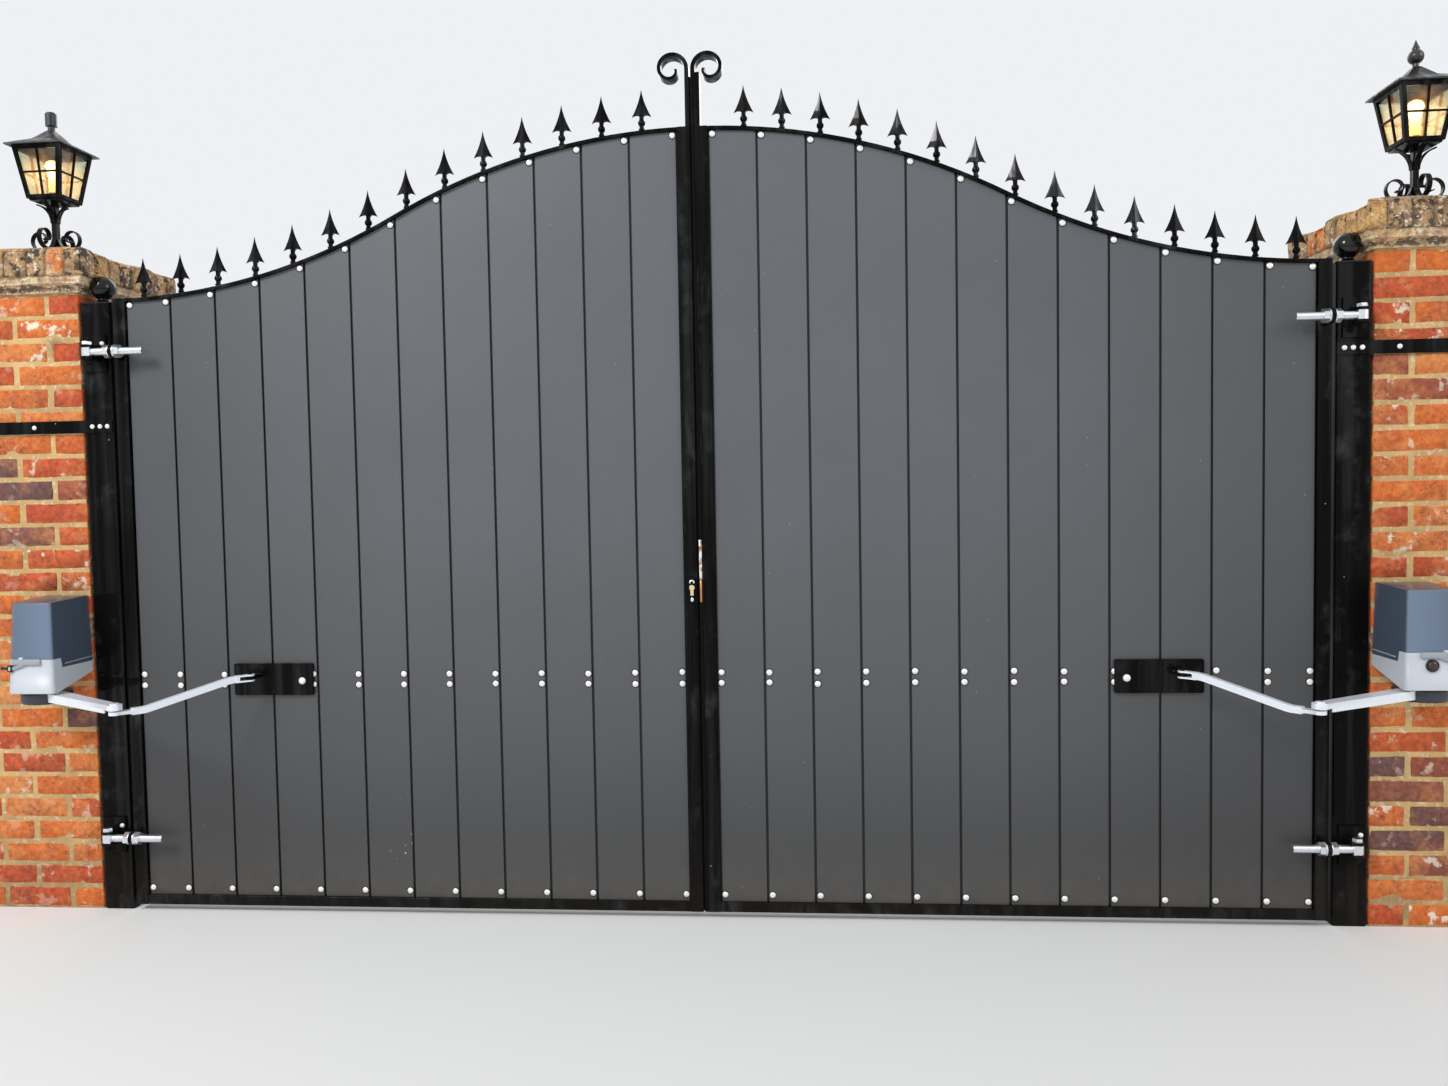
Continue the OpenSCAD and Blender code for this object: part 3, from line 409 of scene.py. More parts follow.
def dust_effect():
    """Dust thrown up from the ground: full at the ground, gone at a height, broken up by noise."""
    def build(tree, given):
        height = axes(tree, given["Vector"])["Z"]
        fall = ranged(tree, height, 0.0, given["Height"], 1.0, 0.0, "SMOOTHSTEP")
        noise = put(tree, "ShaderNodeTexNoise", {"Vector": given["Vector"], "Scale": 22.0, "Detail": 5.0})
        return product(tree, fall, noise.outputs[0], given["Amount"])
    inputs = [("Vector", VECTOR, None), ("Height", VALUE, 0.3), ("Amount", VALUE, 1.0)]
    return effect("Ground dust", inputs, "Mask", build)


def grain_effect():
    """Fine grain: noise stretched along one direction by the lengths of the given vector."""
    def build(tree, given):
        place = stretched(tree, given["Vector"], given["Stretch"])
        noise = put(tree, "ShaderNodeTexNoise", {"Vector": place, "Scale": given["Scale"], "Detail": 3.0,
                                                 "Roughness": 0.65})
        return noise.outputs[0]
    inputs = [("Vector", VECTOR, None), ("Stretch", VECTOR, (1.0, 1.0, 1.0)), ("Scale", VALUE, 600.0)]
    return effect("Fine grain", inputs, "Height", build)


def speck_effect():
    """Small round specks: one in each cell of a size, of a share of the cells, sharp at the edge."""
    def build(tree, given):
        cell = put(tree, "ShaderNodeTexVoronoi", {"Vector": given["Vector"], "Scale": given["Scale"]})
        spot = maths(tree, "LESS_THAN", cell.outputs["Distance"], given["Size"])
        pick = put(tree, "ShaderNodeSeparateColor", {"Color": cell.outputs["Color"]}).outputs[0]
        return product(tree, spot, maths(tree, "LESS_THAN", pick, given["Share"]))
    inputs = [("Vector", VECTOR, None), ("Scale", VALUE, 40.0), ("Size", VALUE, 0.1), ("Share", VALUE, 0.1)]
    return effect("Specks", inputs, "Mask", build)


def use(tree, group, place, **inputs):
    """A shared effect at a place in a material, with its own values."""
    node = put(tree, "ShaderNodeGroup", node_tree=group)
    tree.links.new(place, node.inputs["Vector"])
    for key, value in inputs.items():
        if isinstance(value, bpy.types.NodeSocket):
            tree.links.new(value, node.inputs[key])
        else:
            node.inputs[key].default_value = value
    return node.outputs[0]


def clouds(tree, place, **inputs):
    """Soft patches at a place."""
    return use(tree, cloud_effect(), place, **inputs)


def grain(tree, place, **inputs):
    """Fine grain at a place."""
    return use(tree, grain_effect(), place, **inputs)


def specks(tree, place, **inputs):
    """Small specks at a place."""
    return use(tree, speck_effect(), place, **inputs)


def raised(tree, height, distance, strength=1.0, under=None):
    """A Bump node's normal from a height from 0 to 1, with its depth in metres."""
    inputs = {"Height": height, "Distance": distance, "Strength": strength}
    if under is not None:
        inputs["Normal"] = under
    return put(tree, "ShaderNodeBump", inputs).outputs[0]


def plain_material(name, colour, **shader_inputs):
    """A material with one Principled shader, and the tree, shader and Object coordinates to build on.

    The underscores in the names of the shader's inputs are spaces.
    """
    material = bpy.data.materials.new(name)
    material.use_nodes = True
    tree = material.node_tree
    shader = tree.nodes["Principled BSDF"]
    shader.inputs["Base Color"].default_value = (*colour, 1.0)
    for key, value in shader_inputs.items():
        shader.inputs[key.replace("_", " ")].default_value = value
    place = put(tree, "ShaderNodeTexCoord").outputs["Object"]
    return material, tree, shader, place


def join(tree, output, shader, name):
    """Links an output to one of the shader's inputs."""
    tree.links.new(output, shader.inputs[name])


def set_specular(material, level):
    """Sets how much of its surroundings a finished material mirrors."""
    material.node_tree.nodes["Principled BSDF"].inputs["Specular IOR Level"].default_value = level


def tone_ramp(tree, value, stops):
    """A colour read off a row of (position, colour) stops by a value from 0 to 1."""
    ramp = put(tree, "ShaderNodeValToRGB", {"Fac": value})
    elements = ramp.color_ramp.elements
    for element, (position, colour) in zip((elements[0], elements[1]), (stops[0], stops[-1])):
        element.position = position
        element.color = (*colour, 1.0)
    for position, colour in stops[1:-1]:
        elements.new(position).color = (*colour, 1.0)
    return ramp.outputs[0]


# Materials

def brick_material(settings):
    """Fired brick: a tone for each brick from its attribute, burnt and sandy patches, creases, lime."""
    dark_grain = (0.12, 0.08, 0.07)
    light_grain = (1.0, 0.94, 0.88)
    soot_colour = (0.05, 0.03, 0.025)
    crease_colour = (0.08, 0.035, 0.025)
    material, tree, shader, place = plain_material("Fired brick", settings.orange, Roughness=0.88)
    tone, limed, edge = attribute_values(tree, "brick")
    colour = tone_ramp(tree, tone, [
        (0.0, settings.plum), (0.14, settings.plum), (0.24, settings.brown), (0.36, settings.red),
        (0.50, settings.red), (0.60, settings.orange), (0.82, settings.orange), (1.0, settings.buff)])
    burnt = clouds(tree, place, Scale=7.0, Detail=5.0, Low=0.5, High=0.7)
    colour = covered(tree, colour, settings.brown, burnt, most=0.5)
    sandy = clouds(tree, place, Scale=12.0, Detail=7.0, Low=0.5, High=0.66)
    colour = covered(tree, colour, settings.buff, sandy, most=0.5)
    fine = clouds(tree, place, Scale=70.0, Detail=8.0, Low=0.3, High=0.7)
    colour = grained(tree, colour, fine, 0.42, dark_grain, light_grain)
    soot = specks(tree, place, Scale=60.0, Size=0.20, Share=0.12)
    colour = covered(tree, colour, soot_colour, soot, most=0.5)
    # A band where the noise is about its middle: its product with its rest is 1/4 at most
    bend = clouds(tree, place, Scale=10.0, Detail=4.0, Low=0.490, High=0.510)
    crease = product(tree, bend, maths(tree, "SUBTRACT", 1.0, bend), 4.0)
    colour = covered(tree, colour, crease_colour, crease, product(tree, burnt, 0.9))
    worn = clouds(tree, place, Scale=30.0, Detail=6.0, Low=0.44, High=0.54)
    colour = covered(tree, colour, settings.mortar, product(tree, worn, edge), most=0.75)
    smear = clouds(tree, place, Scale=18.0, Detail=9.0, Low=0.575, High=0.625)
    colour = covered(tree, colour, settings.lime, smear, limed)
    join(tree, colour, shader, "Base Color")
    skin = raised(tree, grain(tree, place, Scale=210.0), distance=0.0010, strength=0.8)
    rough = clouds(tree, place, Scale=30.0, Detail=7.0, Low=0.25, High=0.75)
    lumps = raised(tree, rough, distance=0.0032, strength=0.85, under=skin)
    join(tree, raised(tree, crease, distance=0.0015, strength=0.5, under=lumps), shader, "Normal")
    return material


def mortar_material(settings):
    """Sandy lime mortar: pale, gritty, darker where it is damp near the ground."""
    damp_colour = (0.1, 0.075, 0.05)
    material, tree, shader, place = plain_material("Sandy mortar", settings.mortar, Roughness=0.95)
    patches = clouds(tree, place, Scale=9.0, Detail=6.0)
    colour = blended(tree, patches, settings.mortar, toned(settings.mortar, 0.66))
    grit = clouds(tree, place, Scale=420.0, Low=0.4, High=0.6)
    colour = covered(tree, colour, toned(settings.mortar, 0.45), grit, most=0.35)
    flecks = clouds(tree, place, Scale=60.0, Detail=8.0, Low=0.56, High=0.62)
    colour = covered(tree, colour, settings.lime, flecks, most=0.45)
    damp = use(tree, dust_effect(), place, Height=0.35, Amount=0.8)
    colour = blended(tree, damp, colour, damp_colour)
    join(tree, colour, shader, "Base Color")
    join(tree, raised(tree, grain(tree, place, Scale=320.0), distance=0.0016), shader, "Normal")
    return material


def stone_material(settings):
    """Weathered sandstone: a tone for each block, grit, pale scabs and black lichen from its attribute."""
    dark_grain = (0.06, 0.05, 0.04)
    light_grain = (1.0, 0.96, 0.9)
    material, tree, shader, place = plain_material("Weathered sandstone", settings.tan, Roughness=0.92)
    tone, dirt_and_shade, groove = attribute_values(tree, "stone")

    def spread(start, less, edge, **size):
        """Patches that grow with the dirt, which lowers the limit of their noise from its start."""
        limit = maths(tree, "MULTIPLY_ADD", dirt_and_shade, -less, start)
        return clouds(tree, place, Low=limit, High=maths(tree, "ADD", limit, edge), **size)

    wander = clouds(tree, place, Scale=15.0, Detail=6.0, Low=0.3, High=0.7)
    mixed = maths(tree, "MULTIPLY_ADD", maths(tree, "SUBTRACT", wander, 0.5), 0.16, tone)
    colour = tone_ramp(tree, mixed, [
        (0.0, settings.lichen), (0.22, settings.brown), (0.48, settings.tan), (0.64, settings.ochre),
        (0.76, settings.pale), (0.86, settings.pale), (0.94, settings.rust), (1.0, settings.rust)])
    broad = clouds(tree, place, Scale=32.0, Detail=8.0, Low=0.38, High=0.62)
    colour = grained(tree, colour, broad, 0.42, dark_grain, light_grain)
    sand = clouds(tree, place, Scale=130.0, Detail=6.0, Low=0.32, High=0.68)
    colour = grained(tree, colour, sand, 0.42, dark_grain, light_grain)
    # Dark crust that grows with the grime value, and so also paints shade into the moulding's hollow
    crust = spread(start=0.66, less=0.24, edge=0.05, Scale=34.0, Detail=9.0)
    moulded = ranged(tree, tone, 0.66, 0.74)
    grime = covered(tree, settings.lichen, settings.brown, moulded, most=0.55)
    colour = covered(tree, colour, grime, crust, most=0.88)
    scab = spread(start=0.635, less=0.05, edge=0.03, Scale=52.0, Detail=8.0)
    bloom = specks(tree, place, Scale=75.0, Size=0.36, Share=0.20)
    pale = maths(tree, "MAXIMUM", scab, product(tree, bloom, dirt_and_shade))
    colour = covered(tree, colour, settings.scab, pale, most=0.85)
    colour = covered(tree, colour, settings.joint, groove, most=0.85)
    join(tree, colour, shader, "Base Color")
    pits = raised(tree, grain(tree, place, Scale=190.0), distance=0.0022)
    hollows = clouds(tree, place, Scale=30.0, Detail=9.0, Low=0.3, High=0.7)
    join(tree, raised(tree, hollows, distance=0.006, strength=0.9, under=pits), shader, "Normal")
    return material


def board_shadow(tree, offset, height):
    """How dark a board lies: towards the posts, which shelter it, and near the ground, by way of dirt."""
    pier_shade = ranged(tree, offset, 0.85, 2.05, end=0.38, kind="SMOOTHSTEP")
    darker_low = ranged(tree, height, 0.55, 0.08, end=0.26)
    both = maths(tree, "ADD", pier_shade, darker_low)
    return maths(tree, "SUBTRACT", both, product(tree, pier_shade, darker_low))


def board_marks(tree, place):
    """Pale specks: a spatter of them low on the left leaf, and a few all over."""
    spatter = (GATE_X - 0.985, BOARD_FACE_Y, 0.225)
    near = ranged(tree, distance_from(tree, place, spatter), 0.02, 0.055, 1.0, 0.0)
    many = specks(tree, place, Scale=95.0, Size=0.3, Share=0.22)
    few = specks(tree, place, Scale=30.0, Size=0.045, Share=0.1)
    return maths(tree, "MAXIMUM", product(tree, many, near), product(tree, few, 0.5))


def board_material(settings):
    """Composite board: dark grey, fine upright grain, its own shade on each board, black in the joints."""
    shadow_colour = (0.008, 0.007, 0.006)
    dust_colour = (0.22, 0.18, 0.14)
    mark_colour = (0.62, 0.6, 0.56)
    groove_shade_colour = (0.004, 0.004, 0.005)
    low_shade_tint = (0.56, 0.52, 0.48)
    joint_front = 0.0026
    joint_back = 0.0174
    side_step = 37.0
    material, tree, shader, place = plain_material("Composite board", settings.colour,
                                                   Roughness=settings.roughness)
    spot = axes(tree, place)
    across = maths(tree, "SUBTRACT", spot["X"], GATE_X)
    offset = maths(tree, "ABSOLUTE", across)
    within = maths(tree, "SUBTRACT", offset, BOARD_IN)
    number = maths(tree, "FLOOR", maths(tree, "DIVIDE", within, BOARD_PITCH))
    which = maths(tree, "MULTIPLY_ADD", maths(tree, "SIGN", across), side_step, number)
    chance = put(tree, "ShaderNodeTexWhiteNoise", {"W": which}, noise_dimensions="1D").outputs["Value"]
    shade = ranged(tree, chance, 0.0, 1.0, end=0.5)
    colour = blended(tree, shade, settings.colour, toned(settings.colour, 0.82))
    mottle = clouds(tree, place, Scale=2.2, Detail=6.0)
    colour = covered(tree, colour, toned(settings.colour, 1.25), mottle, most=0.25)
    fibres = grain(tree, place, Stretch=(1.0, 1.0, 0.12), Scale=420.0)
    colour = grained(tree, colour, fibres, 0.16)
    # Painted shade: the boards darker and warmer towards the ground
    painted_low_shade = ranged(tree, spot["Z"], 0.0, 1.5, 0.80, 0.0, "SMOOTHSTEP")
    colour = blended(tree, painted_low_shade, colour, [c * f for c, f in zip(settings.colour, low_shade_tint)])
    # Painted shade towards the posts, and darker near the ground
    colour = blended(tree, board_shadow(tree, offset, spot["Z"]), colour, shadow_colour)
    dust = use(tree, dust_effect(), place, Height=0.3, Amount=0.3)
    colour = blended(tree, dust, colour, dust_colour)
    colour = blended(tree, board_marks(tree, place), colour, mark_colour)
    # Painted shade: the tongues deep in the joints are made near black
    depth = maths(tree, "SUBTRACT", spot["Y"], BOARD_FACE_Y)
    inside = product(tree, maths(tree, "GREATER_THAN", depth, joint_front),
                     maths(tree, "LESS_THAN", depth, joint_back))
    colour = covered(tree, colour, groove_shade_colour, inside, most=0.94)
    join(tree, colour, shader, "Base Color")
    polish = clouds(tree, place, Scale=3.0)
    rough = ranged(tree, polish, 0.0, 1.0, settings.roughness - 0.06, settings.roughness + 0.06)
    join(tree, rough, shader, "Roughness")
    fine = grain(tree, place, Stretch=(1.0, 1.0, 0.3), Scale=700.0)
    waves = grain(tree, place, Stretch=(1.0, 1.0, 0.15), Scale=9.0)
    pressed = raised(tree, fine, distance=0.0004, strength=0.55)
    join(tree, raised(tree, waves, distance=0.0012, strength=0.25, under=pressed), shader, "Normal")
    return material


def paint_material(name, settings, roughness, sheen, scuffs=0.1, even=0.0):
    """Black paint on steel: upright bands of shine, of which an even share is everywhere, rubbed streaks,
    white marks and dust."""
    rubbed_colour = (0.24, 0.25, 0.27)
    dust_colour = (0.12, 0.095, 0.07)
    mark_colour = (0.6, 0.59, 0.56)
    material, tree, shader, place = plain_material(name, settings.colour, Roughness=roughness + 0.12,
                                                   Specular_IOR_Level=0.05, Coat_Roughness=roughness * 0.4)
    tall = stretched(tree, place, (1.0, 1.0, 0.2))
    taller = stretched(tree, place, (1.0, 1.0, 0.03))
    scuff = clouds(tree, place, Scale=9.0, Detail=9.0, Low=0.52, High=0.72)
    streak = clouds(tree, tall, Scale=40.0, Detail=7.0, Low=0.40, High=0.66)
    colour = covered(tree, settings.colour, rubbed_colour, product(tree, scuff, streak), scuffs)
    dust = use(tree, dust_effect(), place, Height=0.4, Amount=0.12)
    colour = blended(tree, dust, colour, dust_colour)
    marks = specks(tree, place, Scale=34.0, Size=0.07, Share=0.06)
    colour = covered(tree, colour, mark_colour, marks, most=0.5)
    join(tree, colour, shader, "Base Color")
    smear = clouds(tree, place, Scale=6.0, Detail=6.0)
    rough = ranged(tree, smear, 0.0, 1.0, roughness + 0.08, roughness + 0.2)
    join(tree, maths(tree, "ADD", rough, product(tree, dust, 0.6)), shader, "Roughness")
    bands = clouds(tree, taller, Scale=26.0, Detail=4.0, Low=0.46, High=0.66)
    shine = ranged(tree, bands, 0.0, 1.0, sheen * even, sheen)
    join(tree, maths(tree, "SUBTRACT", shine, dust), shader, "Coat Weight")
    ripple = grain(tree, place, Stretch=(1.0, 1.0, 0.35), Scale=38.0)
    join(tree, raised(tree, ripple, distance=0.0006, strength=0.3), shader, "Normal")
    return material


def metal_material(name, colour, roughness, spangle=0.15, metallic=1.0, stains=0.3):
    """Zinc-coated or polished metal: crystals of slightly different shade, stains and fine scratches."""
    material, tree, shader, place = plain_material(name, colour, Metallic=metallic, Roughness=roughness)
    cells = put(tree, "ShaderNodeTexVoronoi", {"Vector": place, "Scale": 170.0})
    shade = put(tree, "ShaderNodeSeparateColor", {"Color": cells.outputs["Color"]}).outputs[0]
    surface = covered(tree, colour, toned(colour, 0.55), shade, spangle)
    stain = clouds(tree, place, Scale=25.0, Detail=7.0, Low=0.55, High=0.8)
    surface = covered(tree, surface, toned(colour, 0.5), stain, stains)
    join(tree, surface, shader, "Base Color")
    join(tree, ranged(tree, stain, 0.0, 1.0, roughness, roughness + 0.2), shader, "Roughness")
    scratches = grain(tree, place, Scale=500.0)
    join(tree, raised(tree, scratches, distance=0.0003, strength=0.35), shader, "Normal")
    return material


def rusty_material(name):
    """Bright steel with patches of brown rust."""
    clean = (0.85, 0.86, 0.88)
    deep_rust = (0.30, 0.11, 0.04)
    pale_rust = (0.55, 0.30, 0.13)
    material, tree, shader, place = plain_material(name, clean, Metallic=0.6, Roughness=0.32)
    rust = clouds(tree, place, Scale=55.0, Detail=8.0, Low=0.46, High=0.54)
    thin = clouds(tree, place, Scale=140.0, Detail=6.0, Low=0.4, High=0.6)
    brown = blended(tree, thin, deep_rust, pale_rust)
    join(tree, blended(tree, rust, clean, brown), shader, "Base Color")
    join(tree, ranged(tree, rust, 0.0, 1.0, 0.3, 0.75), shader, "Roughness")
    pits = grain(tree, place, Scale=420.0)
    join(tree, raised(tree, pits, distance=0.0005, strength=0.6), shader, "Normal")
    return material


def painted_cover_light(tree, colour, facing, x, cover):
    """A cover's colour: brighter on its front towards the gate, where the sun has bleached it, a little
    darker on its front away from the gate, and half as bright on its sides."""
    centre, reach = cover
    away = maths(tree, "ABSOLUTE", maths(tree, "SUBTRACT", x, GATE_X))
    out = abs(centre - GATE_X)
    across = ranged(tree, away, out + reach, out - reach)
    front = ranged(tree, facing["Y"], -0.35, -0.85)
    painted_fronts = blended(tree, across, toned(colour, 0.80), toned(colour, 1.25))
    return blended(tree, front, toned(colour, 0.5), painted_fronts)


def plastic_material(name, colour, roughness, dust, swell=(), painted_light=False):
    """Moulded plastic housing: a fine leather grain, dust that lies on what faces up, and fronts a little
    bowed about the places of the swell, each a middle and a half width along X."""
    dust_colour = (0.4, 0.3, 0.22)
    mark_colour = (0.5, 0.49, 0.47)
    bow = 0.010
    material, tree, shader, place = plain_material(name, colour, Roughness=roughness)
    x = axes(tree, place)["X"]
    facing = axes(tree, put(tree, "ShaderNodeNewGeometry").outputs["Normal"])
    lying = ranged(tree, facing["Z"], 0.5, 1.0)
    patches = clouds(tree, place, Scale=18.0, Detail=6.0, Low=0.3, High=0.75)
    # Painted light and shade on the cover: a lit front and shaded sides
    surface = painted_cover_light(tree, colour, facing, x, swell[0]) if painted_light else colour
    surface = covered(tree, surface, dust_colour, product(tree, lying, patches), dust * 2.0)
    marks = specks(tree, place, Scale=60.0, Size=0.06, Share=0.1)
    surface = covered(tree, surface, mark_colour, marks, most=0.5)
    join(tree, surface, shader, "Base Color")
    rounded = put(tree, "ShaderNodeBevel", {"Radius": 0.004}, samples=6).outputs[0]
    leather = grain(tree, place, Scale=900.0)
    normal = raised(tree, leather, distance=0.0002, strength=0.4, under=rounded)
    for at, reach in swell:
        away = maths(tree, "ABSOLUTE", maths(tree, "SUBTRACT", x, at))
        side = maths(tree, "MINIMUM", maths(tree, "DIVIDE", away, reach), 1.0)
        height = maths(tree, "SUBTRACT", 1.0, maths(tree, "POWER", side, 3.0))
        normal = raised(tree, height, distance=bow, under=normal)
    join(tree, normal, shader, "Normal")
    return material


def glass_material(name, settings):
    """Old lantern glass: greenish, rippled, full of small seeds, with the bulb's glow scattered in it."""
    glow_rise = 0.01
    material, tree, shader, place = plain_material(name, settings.glass, Roughness=0.06, IOR=1.45,
                                                   Transmission_Weight=1.0, Emission_Strength=settings.painted_glow)
    patches = clouds(tree, place, Scale=20.0, Detail=5.0)
    colour = blended(tree, patches, settings.glass, toned(settings.glass, 0.86))
    join(tree, colour, shader, "Base Color")
    # Painted glow: the glass itself emits light round each bulb
    painted_glows = []
    for side in SIDES:
        spot = middle(f"{side}_lantern_bulb") + (0, 0, glow_rise)
        away = distance_from(tree, place, tuple(map(float, spot)))
        painted_glows.append(ranged(tree, away, 0.055, 0.115, 1.0, 0.0, "SMOOTHSTEP"))
    streaks = clouds(tree, place, Scale=45.0, Detail=5.0, Low=0.3, High=0.7)
    glow = product(tree, maths(tree, "MAXIMUM", *painted_glows), maths(tree, "MULTIPLY_ADD", streaks, 0.7, 0.3))
    join(tree, blended(tree, glow, BLACK, settings.light), shader, "Emission Color")
    ripples = raised(tree, grain(tree, place, Scale=55.0), distance=0.0012, strength=0.8)
    seeds = specks(tree, place, Scale=130.0, Size=0.3, Share=0.3)
    join(tree, raised(tree, seeds, distance=0.0008, under=ripples), shader, "Normal")
    return material


def bulb_material(settings):
    """A lit bulb: white-hot round the filament, warm amber towards its cap and its tip."""
    glass_colour = (1.0, 0.86, 0.62)
    hot_colour = (1.0, 0.80, 0.50)
    holder_glow = (0.02, 0.012, 0.006)
    holder_colour = (0.30, 0.25, 0.18)
    filament_rise = 0.030
    holder_tall = 0.026
    material, tree, shader, place = plain_material("Lit bulb", glass_colour, Roughness=0.3,
                                                   Emission_Strength=settings.strength)
    z = axes(tree, place)["Z"]
    hot = float(middle("left_lantern_bulb")[2] + filament_rise)
    away = maths(tree, "ABSOLUTE", maths(tree, "SUBTRACT", z, hot))
    warm = ranged(tree, away, 0.012, 0.055)
    holder = maths(tree, "LESS_THAN", z, float(low("left_lantern_bulb")[2] + holder_tall))
    glow = blended(tree, warm, hot_colour, settings.light)
    join(tree, blended(tree, holder, glow, holder_glow), shader, "Emission Color")
    join(tree, blended(tree, holder, glass_colour, holder_colour), shader, "Base Color")
    return material


# Shapes of the masonry

# Rows of a brick: shares of its half height from its foot to its top, and how far each is set in
BRICK_LEVELS = np.array([-1, -0.88, 0.05, 0.88, 1])
BRICK_INSETS = np.array([3.6, 0.4, 0, 0.4, 3.6]) * MM


def loop_template(along_x, along_y, corner=3):
    """Points round a rounded rectangle: where each lies between the corners, and which way it faces."""
    quarter = np.linspace(0, np.pi / 2, corner + 1)[1:-1]
    ax = np.linspace(-1, 1, along_x + 1)
    ay = np.linspace(-1, 1, along_y + 1)
    sides = ([(v, -1.0) for v in ax], [(1.0, v) for v in ay], [(-v, 1.0) for v in ax],
             [(-1.0, -v) for v in ay])
    spots = []
    for side, facing in zip(sides, np.arange(-1, 3) * np.pi / 2):
        for spot in side:
            spots.append((*spot, np.cos(facing), np.sin(facing)))
        for turn in quarter:
            spots.append((*side[-1], np.cos(facing + turn), np.sin(facing + turn)))
    return np.array(spots)


def rounded_tower(loop, size, radius, heights, insets):
    """A rounded rectangle carried up: each row has its height and how far it is set in."""
    half = np.asarray(size) / 2 - radius
    reach = (radius - np.asarray(insets))[:, None]
    x = loop[None, :, 0] * half[0] + reach * loop[None, :, 2]
    y = loop[None, :, 1] * half[1] + reach * loop[None, :, 3]
    z = np.repeat(np.asarray(heights)[:, None], len(loop), 1)
    return np.stack([x, y, z], -1).reshape(-1, 3)


def brick_places(width, courses, course, joint):
    """Centre and size of every outer brick: two long ones on one pair of faces, the next course turned."""
    long = (width - joint) / 2
    short = (long - joint) / 2
    edge = width / 2
    spots = []
    for k in range(courses):
        z = (k + 0.5) * course
        for s in (-1, 1):
            for t in (-1, 1):
                spots.append((t * (long + joint) / 2, s * (edge - short / 2), z, long, short))
            spots.append((s * (edge - short / 2), 0.0, z, short, long))
        if k % 2 == 0:
            spots[-6:] = [(y, x, z, b, a) for x, y, z, a, b in spots[-6:]]
    return np.array(spots)


def brick_mesh(spots, height, seed, centre):
    """Bricks as rounded blocks of few faces, each a little smaller, leaning and worn in its own way.

    The values for the colour are a brick's tone, how limed it is, and 1 at its edges.
    """
    # In millimetres
    corner = 5
    shrinking = 4
    leaning = 0.9
    least_wear = 0.3
    wear = 1.8
    chips = 9
    wandering = 2.4
    # In shares of the height: where the rim of a brick starts, its outermost edge, and the lowest brick
    rim_start = 0.36
    edge_start = 0.47
    lowest = 0.93
    # The tone of a short face, and how far from the pier's middle a brick is one of a pair
    header_tone = 0.78
    off_middle = 0.1
    rng = np.random.default_rng(seed)
    loop = loop_template(3, 2, 1)
    level = BRICK_LEVELS * height / 2
    n = len(loop) * len(level)
    blocks = np.empty((len(spots), n, 3))
    for k, (x, y, z, a, b) in enumerate(spots):
        shrink = rng.uniform(0, shrinking, 2) * MM
        rows = level * rng.uniform(lowest, 1.0)
        block = rounded_tower(loop, (a - shrink[0], b - shrink[1]), corner * MM, rows, BRICK_INSETS)
        lean = rng.normal(0, leaning, 2) * MM
        block[:, 2] += z + block[:, 0] / a * lean[0] + block[:, 1] / b * lean[1]
        outwards = np.sign([x, y]) * shrink / 2
        block[:, 0] += x + (outwards[0] if abs(x) > off_middle else 0)
        block[:, 1] += y + (outwards[1] if abs(y) > off_middle else 0)
        blocks[k] = block
    points = blocks.reshape(-1, 3)
    facing = np.tile(np.tile(loop[:, 2:], (len(level), 1)), (len(spots), 1))
    rim = np.tile(np.repeat(np.abs(level) > height * rim_start, len(loop)), len(spots))
    depth = least_wear + wear * value_noise(points, 0.055, seed)
    depth += np.where(rim, np.clip(value_noise(points, 0.03, seed + 2) - 0.55, 0, 1) * chips, 0)
    points[:, :2] -= facing * (depth * MM)[:, None]
    points[:, 2] += np.where(rim, (value_noise(points, 0.04, seed + 4) - 0.5) * wandering * MM, 0)
    faces = []
    for f in capped(len(level), len(loop)):
        faces.append((f[None] + (np.arange(len(spots)) * n)[:, None, None]).reshape(-1, f.shape[1]))
    edge = np.tile(np.repeat(np.abs(level) > height * edge_start, len(loop)), len(spots)).astype(float)
    header = np.tile(np.where(spots[:, 3] < spots[:, 4], header_tone, 1.0)[:, None], (1, n)).ravel()
    tone = np.repeat(rng.beta(1.9, 1.15, len(spots)), n) * header
    limed = np.repeat(rng.uniform(0, 1, len(spots)) ** 2, n)
    return points + centre, faces, np.stack([tone, limed, edge, np.ones(len(points))], -1)


def spalled(points, a, b, depth, edge):
    """Points pushed back where a brick's face has come off, from corner a to corner b in X and Z.

    The hollow is shallowest at the foot, deepest at the top of the side away from the gate, and none at
    the brick's edges.
    """
    front = -0.03
    x, y, z = points.T
    beside = (x > a[0] - edge) & (x < b[0] + edge)
    inside = beside & (z > a[1] - edge) & (z < b[1] + edge) & (y < front)
    u = np.clip((x - a[0]) / (b[0] - a[0]), 0, 1)
    v = np.clip((z - a[1]) / (b[1] - a[1]), 0, 1)
    pushed = points.copy()
    pushed[:, 1] += np.where(inside, depth * (0.55 + 0.45 * v) * (1.1 - 0.45 * u), 0)
    return pushed


def mortar_mesh(width, height, seed, centre):
    """The mortar as one rough core a few millimetres behind the bricks' faces."""
    step_across = 0.014
    step_up = 0.015
    # In millimetres: rounding of the corners, least depth, and depth of large and small unevenness
    corner = 4
    least = 1.4
    large = 2.6
    small = 2.0
    across = int(width / step_across)
    loop = loop_template(across, across)
    rows = int(height / step_up)
    level = np.linspace(0, height, rows)
    points = rounded_tower(loop, (width, width), corner * MM, level, np.zeros(rows))
    facing = np.tile(loop[:, 2:], (rows, 1))
    depth = least + large * value_noise(points, 0.03, seed) + small * value_noise(points, 0.011, seed + 1)
    points[:, :2] -= facing * (depth * MM)[:, None]
    return points + centre, capped(rows, len(loop))


def joints_along(reach, pitch, rng):
    """Places of the joints between the blocks of one side, unevenly spaced from its one end to its other."""
    count = int(round(2 * reach / pitch))
    widths = rng.uniform(0.8, 1.2, count)
    return np.r_[-np.inf, np.cumsum(widths)[:-1] / widths.sum() * 2 * reach - reach, np.inf]


